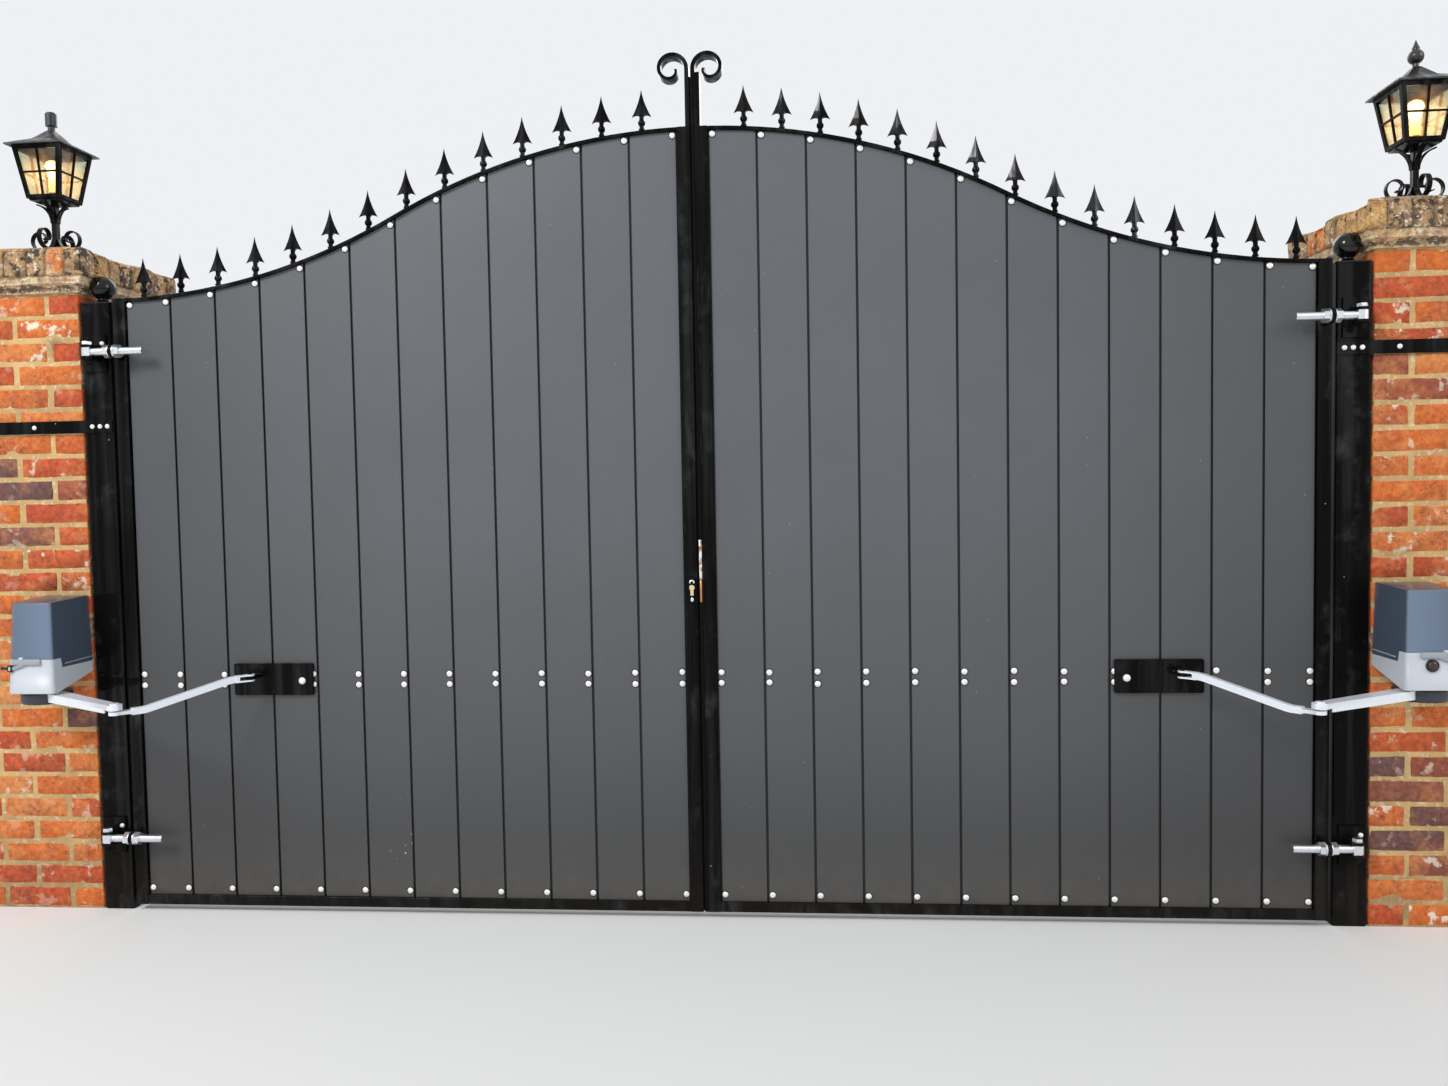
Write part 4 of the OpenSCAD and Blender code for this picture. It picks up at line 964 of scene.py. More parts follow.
def block_marks(points, pitch, tones, rng):
    """For each point of a course of blocks: its block's tone and lichen, the nearest joint, its drop."""
    uneven = 0.03
    tone = np.zeros(len(points))
    lichen = np.zeros(len(points))
    away = np.zeros(len(points))
    drop = np.zeros(len(points))
    along_x = np.abs(points[:, 1]) >= np.abs(points[:, 0])
    reach = np.abs(points[:, :2]).max()
    for across, ahead in ((0, 1), (1, 0)):
        for sign in (-1, 1):
            mine = (along_x if across == 0 else ~along_x) & (np.sign(points[:, ahead]) == sign)
            joints = joints_along(reach, pitch, rng)
            s = points[mine, across]
            block = np.searchsorted(joints, s) - 1
            count = len(joints) - 1
            kinds = rng.choice(len(tones), count)
            away[mine] = np.minimum(s - joints[block], joints[block + 1] - s)
            tone[mine] = np.array([tones[k][0] for k in kinds])[block] + rng.normal(0, uneven, count)[block]
            lichen[mine] = np.array([tones[k][1] for k in kinds])[block]
            drop[mine] = (rng.uniform(0, 1, count) ** 2)[block]
    return tone, lichen, away, drop


def hollowed(points, ball, room):
    """Points pushed out of the room round a ball: half a sphere above its middle, a cylinder below it."""
    around = points - ball
    around[:, 2] = np.maximum(around[:, 2], 0)
    distance = np.maximum(np.linalg.norm(around, axis=1), 1e-6)
    inside = distance < room
    pushed = points.copy()
    pushed[inside] += (around * (room / distance - 1)[:, None])[inside]
    return pushed


def stone_mesh(profile, half, wear, seed, centre, ball, room, blocks=None):
    """A moulding carried round a square: a profile of overhang, height and dirt, worn back, cut into
    blocks and hollowed round a ball. The colour is the tone, the dirt or lichen, and the joints."""
    step = 0.005
    loop_steps = 104
    radius = 9 * MM
    least_reach = 0.012
    # How far from the outer edge the flat top of the cap starts, over what width, and its look
    flat_from = 0.085
    flat_blend = 0.02
    flat_tone = 0.5
    flat_dirt = 0.35
    # A joint between blocks: its width, its depth and how far it lowers the top
    joint_width = 0.0055
    joint_depth = 0.0075
    joint_drop = 0.009
    # How far a block stands back and lies low at most
    set_back = 0.003
    set_down = 0.016
    profile = np.asarray(profile, float)
    along = np.r_[0, np.cumsum(np.hypot(*np.diff(profile[:, :2], axis=0).T))]
    length = np.unique(np.r_[np.linspace(0, along[-1], int(along[-1] / step)), along])
    out, level, dirt_and_shade = (np.interp(length, along, profile[:, i]) for i in range(3))
    loop = loop_template(loop_steps, loop_steps, 6)
    reach = np.maximum(half + out, least_reach)
    x = loop[None, :, 0] * (reach - radius)[:, None] + radius * loop[None, :, 2]
    y = loop[None, :, 1] * (reach - radius)[:, None] + radius * loop[None, :, 3]
    local = np.stack([x, y, np.repeat(level[:, None], len(loop), 1)], -1).reshape(-1, 3)
    points = local + centre
    facing = np.tile(loop[:, 2:], (len(length), 1))
    tall = level.max()
    edge = half + out.max()
    upper = np.repeat((reach < edge - 0.004) & (level > tall * 0.4), len(loop))
    worn = wear * (value_noise(points, 0.09, seed) + 0.6 * value_noise(points, 0.03, seed + 1)
                   + 0.4 * value_noise(points, 0.011, seed + 2))
    broken = np.clip(value_noise(points, 0.05, seed + 3) - 0.62, 0, 1) * wear * 5
    corner = np.tile(np.abs(loop[:, 2] * loop[:, 3]) > 0.05, len(length))
    worn += np.where(corner, broken * 1.6, broken * 0.5)
    colour = np.ones((len(points), 4))
    colour[:, 0] = 0.84 - 0.13 * value_noise(points, 0.10, seed + 5)
    colour[:, 1] = np.repeat(dirt_and_shade, len(loop))
    colour[:, 2] = 0.0
    if blocks is not None:
        pitch, tones = blocks
        rng = np.random.default_rng(seed)
        tone, lichen, away, drop = block_marks(local, pitch, tones, rng)
        flat = np.clip((edge - flat_from - np.abs(local[:, :2]).max(1)) / flat_blend, 0, 1)
        groove = np.exp(-(away / joint_width) ** 2) * (1 - flat)
        worn += groove * joint_depth + drop * set_back
        rise = np.clip((local[:, 2] - tall * 0.35) / (tall * 0.35), 0, 1) * (1 - flat)
        points[:, 2] -= rise * (drop * set_down + groove * joint_drop)
        colour[:, 0] = tone * (1 - flat) + flat_tone * flat
        colour[:, 1] = lichen * (1 - flat) + flat_dirt * flat
        colour[:, 2] = np.clip(groove * 1.3 - 0.3, 0, 1)
    points[:, :2] -= np.where(upper[:, None], 0, facing * worn[:, None])
    points[:, 2] -= np.where(upper, worn, 0)
    return hollowed(points, ball, room), capped(len(length), len(loop)), colour


def coloured(obj, name, colour):
    """Gives a piece a colour attribute, a row of four values for each point."""
    layer = obj.data.color_attributes.new(name, "FLOAT_COLOR", "POINT")
    layer.data.foreach_set("color", colour.astype(np.float32).ravel())


# Sizes and colours a user would change

def metres(name, text, value):
    """A length property."""
    return FloatProperty(name=name, description=text, default=value, unit="LENGTH", min=0.0)


def share(name, text, value):
    """A property from 0 to 1."""
    return FloatProperty(name=name, description=text, default=value, min=0.0, max=1.0, subtype="FACTOR")


def from_nothing(name, text, value):
    """A property from 0 upwards."""
    return FloatProperty(name=name, description=text, default=value, min=0.0)


def tint(name, text, value):
    """A colour property."""
    return FloatVectorProperty(name=name, description=text, default=value, subtype="COLOR", size=3, min=0,
                               max=1)


class BrickSettings(bpy.types.PropertyGroup):
    """Bricks and mortar of the piers."""

    courses: IntProperty(name="Courses", description="Courses of bricks in a pier", default=27, min=1)
    joint: metres("Joint", "Thickness of the mortar joints", 0.0085)
    orange: tint("Orange", "Colour of most bricks", (0.60, 0.148, 0.030))
    red: tint("Red", "Colour of the redder bricks", (0.46, 0.078, 0.026))
    brown: tint("Brown", "Colour of the brown bricks", (0.26, 0.085, 0.050))
    plum: tint("Plum", "Colour of the dark burnt bricks", (0.140, 0.070, 0.064))
    buff: tint("Buff", "Colour of the palest bricks", (0.66, 0.27, 0.088))
    lime: tint("Lime", "Colour of the smears of lime", (0.86, 0.76, 0.60))
    mortar: tint("Mortar", "Colour of the mortar", (0.76, 0.51, 0.22))
    seed: IntProperty(name="Seed", description="Changes the random bricks", default=11)


class StoneSettings(bpy.types.PropertyGroup):
    """Moulded course and capstone."""

    wear: metres("Wear", "Depth of the weathering", 0.0035)
    block: metres("Block", "Width of the blocks of the cap", 0.070)
    tan: tint("Tan", "Main colour of the blocks", (0.44, 0.285, 0.150))
    brown: tint("Brown", "Colour of the brown blocks", (0.21, 0.14, 0.085))
    ochre: tint("Ochre", "Colour of the yellow blocks", (0.56, 0.325, 0.115))
    pale: tint("Pale", "Colour of the moulded course", (0.58, 0.44, 0.29))
    rust: tint("Rust", "Colour of the orange blocks", (0.66, 0.235, 0.065))
    scab: tint("Scabs", "Colour of the pale scabs", (0.84, 0.75, 0.61))
    lichen: tint("Lichen", "Colour of the dark lichen", (0.035, 0.029, 0.024))
    joint: tint("Joint", "Colour of the joints between the blocks", (0.16, 0.115, 0.075))


class BoardSettings(bpy.types.PropertyGroup):
    """Boards of the leaves."""

    colour: tint("Colour", "Colour of the boards", (0.102, 0.109, 0.119))
    roughness: share("Roughness", "Roughness of the boards", 0.48)


class PaintSettings(bpy.types.PropertyGroup):
    """Painted steel."""

    colour: tint("Colour", "Colour of the paint", (0.0035, 0.0035, 0.0036))
    gloss: share("Roughness", "Roughness of the gloss paint", 0.10)
    bevel: from_nothing("Rounding", "Rounding of the steel's edges, in mm", 2.0)


class FixingSettings(bpy.types.PropertyGroup):
    """Rivets, bolts and zinc-coated parts."""

    rivet: metres("Rivet head", "Diameter of a rivet head", 0.0195)
    # The black ring under a rivet stands in for the shade round its head
    shade_ring: metres("Washer", "Diameter of the black washer under a rivet", 0.0245)
    edge: metres("Rivet edge", "Rivets from the edge of a board", 0.014)
    zinc: tint("Zinc", "Colour of zinc-coated steel", (0.80, 0.83, 0.87))


class OpenerSettings(bpy.types.PropertyGroup):
    """Housings of the openers."""

    cover: tint("Cover", "Colour of the cover's front", (0.135, 0.179, 0.256))
    base: tint("Base", "Colour of the base", (0.56, 0.60, 0.65))


class LanternSettings(bpy.types.PropertyGroup):
    """Lanterns on the piers."""

    glass: tint("Glass", "Colour of the glass", (0.80, 0.83, 0.66))
    light: tint("Light", "Colour of the lit bulb's outer parts", (1.0, 0.42, 0.10))
    strength: from_nothing("Strength", "Strength of the lit bulb", 3.2)
    # Strength of the painted glow that the glass emits round the bulb
    painted_glow: from_nothing("Halo", "Strength of the glow in the glass", 0.35)


class StageSettings(bpy.types.PropertyGroup):
    """Camera, floor and lights."""

    camera: FloatVectorProperty(name="Camera", description="Place of the camera", subtype="TRANSLATION",
                                unit="LENGTH", default=(2.3115, -3.4621, 1.3409))
    lens: FloatProperty(name="Lens", description="Focal length in mm", default=27.35, min=1)
    floor: tint("Floor", "Colour of the floor and backdrop", (0.82, 0.82, 0.81))
    key: from_nothing("Key light", "Power of the main light in watts", 430.0)
    fill: from_nothing("Fill light", "Power of the second light in watts", 170.0)


GROUPS = {"bricks": BrickSettings, "stones": StoneSettings, "boards": BoardSettings, "paint": PaintSettings,
          "fixings": FixingSettings, "openers": OpenerSettings, "lanterns": LanternSettings,
          "stage": StageSettings}


class GateSettings(bpy.types.PropertyGroup):
    """All settings of the gate."""


GateSettings.__annotations__ = {
    key: PointerProperty(type=group, name=group.__doc__.rstrip(".")) for key, group in GROUPS.items()}


# Operators

class LayBricks(bpy.types.Operator):
    """Lay the bricks and mortar of both piers"""

    bl_idname = "gate.lay_bricks"
    bl_label = "Lay bricks"

    SEED_SHIFTS = {"left": 0, "right": 57}
    MORTAR_SEED_SHIFT = 9

    # The left pier's brick without its face: how many courses lie below it, and its ends from the edge
    BROKEN_COURSE = 24
    BROKEN_START = 0.108
    BROKEN_END = 0.004
    BROKEN_TONE = 0.5

    # Depth of the hollow, and how far it goes past the brick's place, where less than 0 stays inside
    BRICK_HOLLOW = (0.016, -0.002)
    MORTAR_HOLLOW = (0.026, -0.006)

    def execute(self, context):
        s = context.scene.gate.bricks
        brick = brick_material(s)
        mortar = mortar_material(s)
        for side in SIDES:
            node = f"{side}_pier"
            a, b = low(node), high(node)
            width = b[0] - a[0]
            course = (b[2] - a[2]) / s.courses
            centre = np.array([(a[0] + b[0]) / 2, (a[1] + b[1]) / 2, a[2]])
            seed = s.seed + self.SEED_SHIFTS[side]
            spots = brick_places(width, s.courses, course, s.joint)
            points, faces, tone = brick_mesh(spots, course - s.joint, seed, centre)
            foot = (b[0] - self.BROKEN_START, a[2] + self.BROKEN_COURSE * course)
            top = (b[0] - self.BROKEN_END, a[2] + (self.BROKEN_COURSE + 1) * course)
            if side == "left":
                whole = points
                points = spalled(whole, foot, top, *self.BRICK_HOLLOW)
                tone[:, 0] = np.where(points[:, 1] > whole[:, 1], self.BROKEN_TONE, tone[:, 0])
            obj = piece(f"{side}_bricks", points, faces, brick, "root", angle=50, replaces=[node])
            coloured(obj, "brick", tone)
            points, faces = mortar_mesh(width, b[2] - a[2], seed + self.MORTAR_SEED_SHIFT, centre)
            if side == "left":
                points = spalled(points, foot, top, *self.MORTAR_HOLLOW)
            piece(f"{side}_mortar", points, faces, mortar, "root", angle=60)
        return {"FINISHED"}


class CarveStones(bpy.types.Operator):
    """Carve the moulded course and the blocks of the cap of both piers"""

    bl_idname = "gate.carve_stones"
    bl_label = "Carve stones"

    # Tone and lichen of each kind of block
    TONES = ((0.46, 0.35), (0.36, 0.65), (0.24, 0.85), (0.62, 0.25), (0.50, 0.75), (0.94, 0.35),
             (0.42, 0.50))
    SEED_SHIFTS = {"left": 0, "right": 1671}
    SEEDS = {"cornice": 3, "cap": 8}

    # Radius of the ball beside the stones, and of the hollow that it stands in
    BALL = 0.039
    ROOM = 0.0418

    def execute(self, context):
        s = context.scene.gate.stones
        stone = stone_material(s)
        for side, shift in self.SEED_SHIFTS.items():
            pier = f"{side}_pier"
            half = (high(pier)[0] - low(pier)[0]) / 2
            finial = f"{side}_post_finial"
            ball = np.array([*middle(finial)[:2], high(finial)[2] - self.BALL])
            for name, seed in self.SEEDS.items():
                node = f"{side}_pier_{name}"
                a, b = low(node), high(node)
                centre = np.array([(a[0] + b[0]) / 2, (a[1] + b[1]) / 2, a[2]])
                out = (b[0] - a[0]) / 2 - half
                tall = b[2] - a[2]
                rows = self.moulding(out, tall, half) if name == "cornice" else self.slope(out, tall, half)
                blocks = (s.block, self.TONES) if name == "cap" else None
                points, faces, colour = stone_mesh(rows, half, s.wear, seed + shift, centre, ball, self.ROOM,
                                                   blocks)
                points = np.clip(points, a, b)
                obj = piece(f"{side}_{name}_stone", points, faces, stone, "root", angle=42, replaces=[node])
                coloured(obj, "stone", colour)
        return {"FINISHED"}

    @staticmethod
    def moulding(out, tall, half):
        """Rows of overhang, height and dirt of the moulded course: a hollow below and a swell above it."""
        inner = -half * 0.9
        # Shares of the overhang and the height: where hollow and swell meet, and how far each goes
        meet_out = 0.62
        meet_up = 0.50
        hollow_out = 0.32
        swell_out = 0.38
        wave_up = 0.34
        turn = np.linspace(0, np.pi / 2, 9)
        hollow = [(out * (meet_out - hollow_out * math.cos(t)),
                   tall * (meet_up - wave_up + wave_up * math.sin(t)), 0.85) for t in turn]
        swell = [(out * (meet_out + swell_out * math.sin(t)),
                  tall * (meet_up + wave_up - wave_up * math.cos(t)), 0.75 - 0.6 * math.sin(t))
                 for t in turn]
        return [(inner, 0.0, 0.5), (out * (meet_out - hollow_out), 0.0, 0.3), *hollow, *swell[1:],
                (out, tall, 0.1), (inner, tall, 0.1)]

    @staticmethod
    def slope(out, tall, half):
        """Rows of overhang, height and dirt of the cap: an upright face, a round edge and a long slope."""
        dirt_and_shade = 0.5
        rows = [(-half * 0.9, 0.0), (out - 0.006, 0.0), (out, 0.006), (out, tall - 0.058),
                (out - 0.004, tall - 0.047), (out - 0.013, tall - 0.039), (-half + 0.1015, tall),
                (-half * 0.97, tall)]
        return [(*row, dirt_and_shade) for row in rows]


class FitBoards(bpy.types.Operator):
    """Fit the composite boards of both leaves"""

    bl_idname = "gate.fit_boards"
    bl_label = "Fit boards"

    def execute(self, context):
        board = board_material(context.scene.gate.boards)
        for side in SIDES:
            dressed(f"{side}_boards", board, bevel=0.5)
        return {"FINISHED"}


class PaintSteel(bpy.types.Operator):
    """Paint the frames, posts, straps, railheads and scrolls"""

    bl_idname = "gate.paint_steel"
    bl_label = "Paint steel"

    def execute(self, context):
        s = context.scene.gate.paint
        gloss = paint_material("Black gloss paint", s, s.gloss, sheen=0.36, scuffs=0.17)
        satin = paint_material("Black satin paint", s, s.gloss + 0.08, sheen=0.35)
        enamel = paint_material("Black enamel", s, s.gloss * 0.5, sheen=0.75, scuffs=0.05)
        polished = paint_material("Polished black enamel", s, s.gloss * 0.3, sheen=0.9, scuffs=0.0, even=0.7)
        for side in SIDES:
            for name in ("hinge_stile", "meeting_stile", "bottom_rail", "middle_rail", "top_rail", "post"):
                dressed(f"{side}_{name}", gloss, s.bevel)
            dressed(f"{side}_scroll", enamel, bevel=1.4, segments=3)
            dressed(f"{side}_post_finial", polished, bevel=0.8)
            dressed(f"{side}_railheads", enamel, bevel=0.7)
            for name in ("strap", "hinge_brackets", "arm_bracket"):
                dressed(f"{side}_{name}", satin, bevel=0.8)
        return {"FINISHED"}


class SetRivets(bpy.types.Operator):
    """Set the rivets of the boards and the bolts of the straps and brackets"""

    bl_idname = "gate.set_rivets"
    bl_label = "Set rivets"

    SEEDS = {"left": 5, "right": 6}

    # Height of a rivet's head and its rim, and of the black ring under it, which stands in for the shade
    # round the head, and of the ring's rim
    HEAD = 0.0054
    HEAD_RIM = 0.0016
    SHADE_RING = 0.0010
    SHADE_RING_RIM = 0.0006

    # How far the shanks of rivets and bolts reach back into the work
    SHANK = 0.001

    # Rivets from the top edge and the foot of the boards, and of a pair from the middle of its rail
    TOP_DROP = 0.022
    FOOT_RISE = 0.021
    PAIR = 0.017
    UNEVEN = 0.0012

    # Bolts of a strap from the middle of its post: on the post, and on the pier to the right and the left
    POST_BOLTS = (-0.031, -0.006, 0.020)
    PIER_BOLTS = {"left": -0.219, "right": 0.125}

    # The bolt of an arm's bracket: its height, its place from the plate's end, and how far before the boards
    BRACKET_BOLT_Z = 0.760
    BRACKET_BOLT_IN = 0.036
    BRACKET_PLATE = 0.010

    def execute(self, context):
        s = context.scene.gate.fixings
        bright = metal_material("Bright rivets", (0.93, 0.92, 0.90), 0.42, spangle=0.05, metallic=0.35)
        # Black rings under the rivets: painted shade round their heads
        shade_rubber = plastic_material("Black shade_rings", (0.006, 0.006, 0.006), 0.6, dust=0.0)
        reach = np.append(BOARD_IN + np.arange(BOARDS) * BOARD_PITCH + s.edge, BOARD_OUT - s.edge)
        radius = s.shade_ring / 2
        rows = [(radius, -self.SHANK), (radius, self.SHADE_RING_RIM), (radius - 0.001, self.SHADE_RING)]
        for side, sign in SIDES.items():
            spots = self.places(side, sign, reach)
            head = dome(s.rivet / 2, self.HEAD, self.HEAD_RIM, self.SHANK, steps=12, rings=3)
            piece(f"{side}_rivets", *repeated(*head, spots), bright, f"{side}_leaf")
            ring = turned(rows, 16, "-Y")
            piece(f"{side}_shade_rings", *repeated(*ring, spots), shade_rubber, f"{side}_leaf")
            self.bolts(side, sign, bright)
        return {"FINISHED"}

    def places(self, side, sign, reach):
        """A rivet at each end of every board, and a pair on the middle rail except behind the bracket."""
        margin = 0.004
        x = GATE_X + sign * reach
        face = np.full(len(x), BOARD_FACE_Y)
        bracket = f"{side}_arm_bracket"
        free = (x < low(bracket)[0] + margin) | (x > high(bracket)[0] - margin)
        foot = np.full(len(x), low(f"{side}_boards")[2] + self.FOOT_RISE)
        rows = [np.stack([x, face, self.arch(reach) - self.TOP_DROP], -1), np.stack([x, face, foot], -1)]
        rng = np.random.default_rng(self.SEEDS[side])
        for dz in (-self.PAIR, self.PAIR):
            z = middle(f"{side}_middle_rail")[2] + dz + rng.normal(0, self.UNEVEN, len(x))
            rows.append(np.stack([x, face, z], -1)[free])
        return np.concatenate(rows)

    @staticmethod
    def arch(reach):
        """Height of the leaf's top: an arc over its inner half and its mirror image towards the post."""
        top = high("right_top_rail")[2]
        rise = top - high("right_hinge_stile")[2]
        span = LEAF_OUT - LEAF_IN
        radius = (span ** 2 + rise ** 2) / (4 * rise)
        t = reach - LEAF_IN
        crown = top - radius + np.sqrt(radius ** 2 - t ** 2)
        sag = top - rise + radius - np.sqrt(radius ** 2 - (span - t) ** 2)
        return np.where(t < span / 2, crown, sag)

    def bolts(self, side, sign, material):
        """Three bolts of the strap on the post and one on the pier, the plates' and the bracket's bolts."""
        post = middle(f"{side}_post")
        strap = middle(f"{side}_strap")
        front = low(f"{side}_strap")[1]
        spots = [(post[0] + sign * dx, front, strap[2]) for dx in self.POST_BOLTS]
        spots.append((post[0] + self.PIER_BOLTS[side], front, strap[2]))
        shape = dome(radius=0.0076, height=0.0055, rim=0.001, back=self.SHANK)
        piece(f"{side}_strap_bolts", *repeated(*shape, spots), material, "root")
        eyes = f"{side}_hinge_eyes"
        pins = (low(eyes)[2] + PIN_LEVEL, high(eyes)[2] - PIN_LEVEL)
        spots = [(post[0] + 0.026, low(f"{side}_post")[1] - 0.008, z + 0.031) for z in pins]
        shape = dome(radius=0.0075, height=0.0065, rim=0.0015, back=self.SHANK, steps=16, rings=4)
        piece(f"{side}_plate_bolts", *repeated(*shape, spots), material, "root")
        plate = f"{side}_arm_bracket"
        wide = high(plate)[0] - low(plate)[0]
        x = middle(plate)[0] - sign * (wide / 2 - self.BRACKET_BOLT_IN)
        spot = (x, BOARD_FACE_Y - self.BRACKET_PLATE, self.BRACKET_BOLT_Z)
        shape = dome(radius=0.0115, height=0.0075, rim=0.0015, back=self.SHANK)
        points, faces = repeated(*shape, [spot])
        piece(f"{side}_bracket_bolt", points, faces, material, f"{side}_leaf")


class FitHinges(bpy.types.Operator):
    """Fit the adjustable hinges: eyes, threaded rods, nuts and pins"""

    bl_idname = "gate.fit_hinges"
    bl_label = "Fit hinges"

    # The threads start this far from the pin and end this far from the rod's tip
    THREAD_START = 0.020
    THREAD_END = 0.002

    # A pin's head: its foot above the middle of the eye, its width over flats and its height
    HEAD_UP = 0.0225
    HEAD_WIDTH = 0.0262
    HEAD = 0.0108

    def execute(self, context):
        s = context.scene.gate.fixings
        zinc = metal_material("Zinc-coated steel", s.zinc, 0.30, spangle=0.2)
        for side, sign in SIDES.items():
            eyes = f"{side}_hinge_eyes"
            dressed(eyes, zinc, bevel=0.4)
            pin = middle(f"{side}_post")[0]
            a, b = low(eyes), high(eyes)
            tip = a[0] if sign > 0 else b[0]
            threads = []
            heads = []
            for z in (a[2] + PIN_LEVEL, b[2] - PIN_LEVEL):
                start = pin - sign * self.THREAD_START
                threads.append(self.thread(start, tip + sign * self.THREAD_END, PIN_Y, z))
                heads.append((pin, PIN_Y, z + self.HEAD_UP))
            points, faces = gathered(threads)
            piece(f"{side}_threads", points, faces, zinc, f"{side}_leaf", angle=60)
            points, faces = repeated(*hexagon(self.HEAD_WIDTH, self.HEAD), heads)
            piece(f"{side}_pin_heads", points, faces, zinc, "root")
        return {"FINISHED"}

    @staticmethod
    def thread(x0, x1, y, z):
        """A screw thread: the radius goes in and out as a rounded wave, one pitch on in each turn."""
        pitch = 0.003
        radius = 0.0121
        wave_height = 0.00045
        end_radius = 0.0105
        steps = 20
        rows_a_pitch = 4
        rows = int(abs(x1 - x0) / pitch * rows_a_pitch)
        x = np.linspace(x0, x1, rows)[:, None]
        angle = np.linspace(0, 2 * np.pi, steps, endpoint=False)[None, :]
        r = radius + wave_height * np.cos(2 * np.pi * x / pitch + angle)
        r[[0, -1]] = end_radius
        points = np.stack([x + 0 * r, y + r * np.cos(angle), z + r * np.sin(angle)], -1).reshape(-1, 3)
        return points, capped(rows, steps)


class FitOpeners(bpy.types.Operator):
    """Fit the openers: housings, drums, arms, latches, release knobs and screws"""

    bl_idname = "gate.fit_openers"
    bl_label = "Fit openers"

    # Half the width over which a housing's front is bowed
    BOW_REACH = 0.082

    # The latch from the middle of the base's foot: away from the gate, and up
    LATCH_OUT = 0.004
    LATCH_UP = 0.151

    # Places of the releases from a corner or the middle of the base
    KEY_SPOT = (0.0253, 0.0035, 0.1225)
    KNOB_SPOT = (-0.011, 0.0015, 0.1135)

    def execute(self, context):
        s = context.scene.gate.openers
        arm = metal_material("Zinc-coated arm", (0.88, 0.92, 0.98), 0.30, spangle=0.03, metallic=0.35,
                             stains=0.1)
        bow = [(float(middle(f"{side}_opener_cover")[0]), self.BOW_REACH) for side in SIDES]
        cover = plastic_material("Dark cover", s.cover, 0.26, dust=0.12, swell=bow, painted_light=True)
        base = plastic_material("Light base", s.base, 0.38, dust=0.1, swell=bow)
        grey = plastic_material("Grey latch", toned(s.base, 0.62), 0.4, dust=0.1)
        dark = plastic_material("Dark drum", (0.028, 0.033, 0.042), 0.42, dust=0.1)
        black = plastic_material("Black knob", (0.010, 0.010, 0.012), 0.22, dust=0.0)
        tinted = plastic_material("Dark red knob", (0.050, 0.018, 0.016), 0.12, dust=0.0)
        bright = metal_material("Bright lock", (0.86, 0.87, 0.88), 0.22, spangle=0.0)
        for side, sign in SIDES.items():
            dressed(f"{side}_opener_cover", cover, bevel=4.0, segments=3)
            dressed(f"{side}_opener_base", base, bevel=2.5, segments=3)
            dressed(f"{side}_opener_drum", dark, bevel=1.5)
            dressed(f"{side}_drive_arm", arm, bevel=1.6, segments=3)
            dressed(f"{side}_curved_arm", arm, bevel=4.0, segments=3)
            self.latch(side, sign, grey, bright)
            self.ledge(side, sign, grey)
        self.key_knob(black, bright)
        self.round_knob(tinted, black)
        return {"FINISHED"}

    @staticmethod
    def slab(centre, size, radius, slope=0.0):
        """A small block with rounded upright edges, smaller at its foot and top, and sloped along X."""
        loop = loop_template(4, 2, 3)
        wide, deep, tall = size
        heights = np.array([0, 0.2, 0.8, 1.0]) * tall - tall / 2
        insets = np.array([0.25, 0, 0, 0.25]) * min(radius, tall / 2)
        points = rounded_tower(loop, (wide, deep), radius, heights, insets)
        points[:, 2] += points[:, 0] * slope
        return points + np.asarray(centre), capped(4, len(loop))

    def latch(self, side, sign, grey, bright):
        """The latch bar over the joint of cover and base, on the outer half of the front, with its screw."""
        a, b = low(f"{side}_opener_base"), high(f"{side}_opener_base")
        x = (a[0] + b[0]) / 2 + sign * self.LATCH_OUT
        z = a[2] + self.LATCH_UP
        face = a[1]
        bar = self.slab(centre=(x + sign * 0.001, face + 0.004, z - 0.008), size=(0.096, 0.014, 0.017),
                        radius=0.004)
        lip = self.slab(centre=(x + sign * 0.026, face + 0.003, z - 0.022), size=(0.050, 0.010, 0.010),
                        radius=0.003, slope=sign * -0.35)
        piece(f"{side}_latch", *gathered([bar, lip]), grey, "root")
        points, faces = hexagon(width=0.011, height=0.006)
        spot = np.array([x + sign * 0.022, face + 0.006, z])
        piece(f"{side}_latch_screw", points + spot, faces, bright, "root")

    @staticmethod
    def ledge(side, sign, grey):
        """The thin ledge along the foot of the cover, on the side of the gate."""
        wide = 0.006
        long = 0.128
        half_tall = 0.0018
        radius = 0.0012
        slope = 0.03
        # How far it is sunk in the cover's side, in front of the cover's back, and above its foot
        sunk = 0.0006
        ahead = 0.070
        up = 0.0125
        a, b = low(f"{side}_opener_cover"), high(f"{side}_opener_cover")
        x = b[0] - sunk if sign < 0 else a[0] + sunk
        loop = loop_template(2, 6, 2)
        heights = np.array([-1, -0.5, 0.5, 1]) * half_tall
        insets = np.array([0.5, 0, 0, 0.5]) * MM
        points = rounded_tower(loop, (wide, long), radius, heights, insets)
        points[:, 2] += points[:, 1] * slope
        points += np.array([x, b[1] - ahead, a[2] + up])
        piece(f"{side}_ledge", points, capped(4, len(loop)), grey, "root")

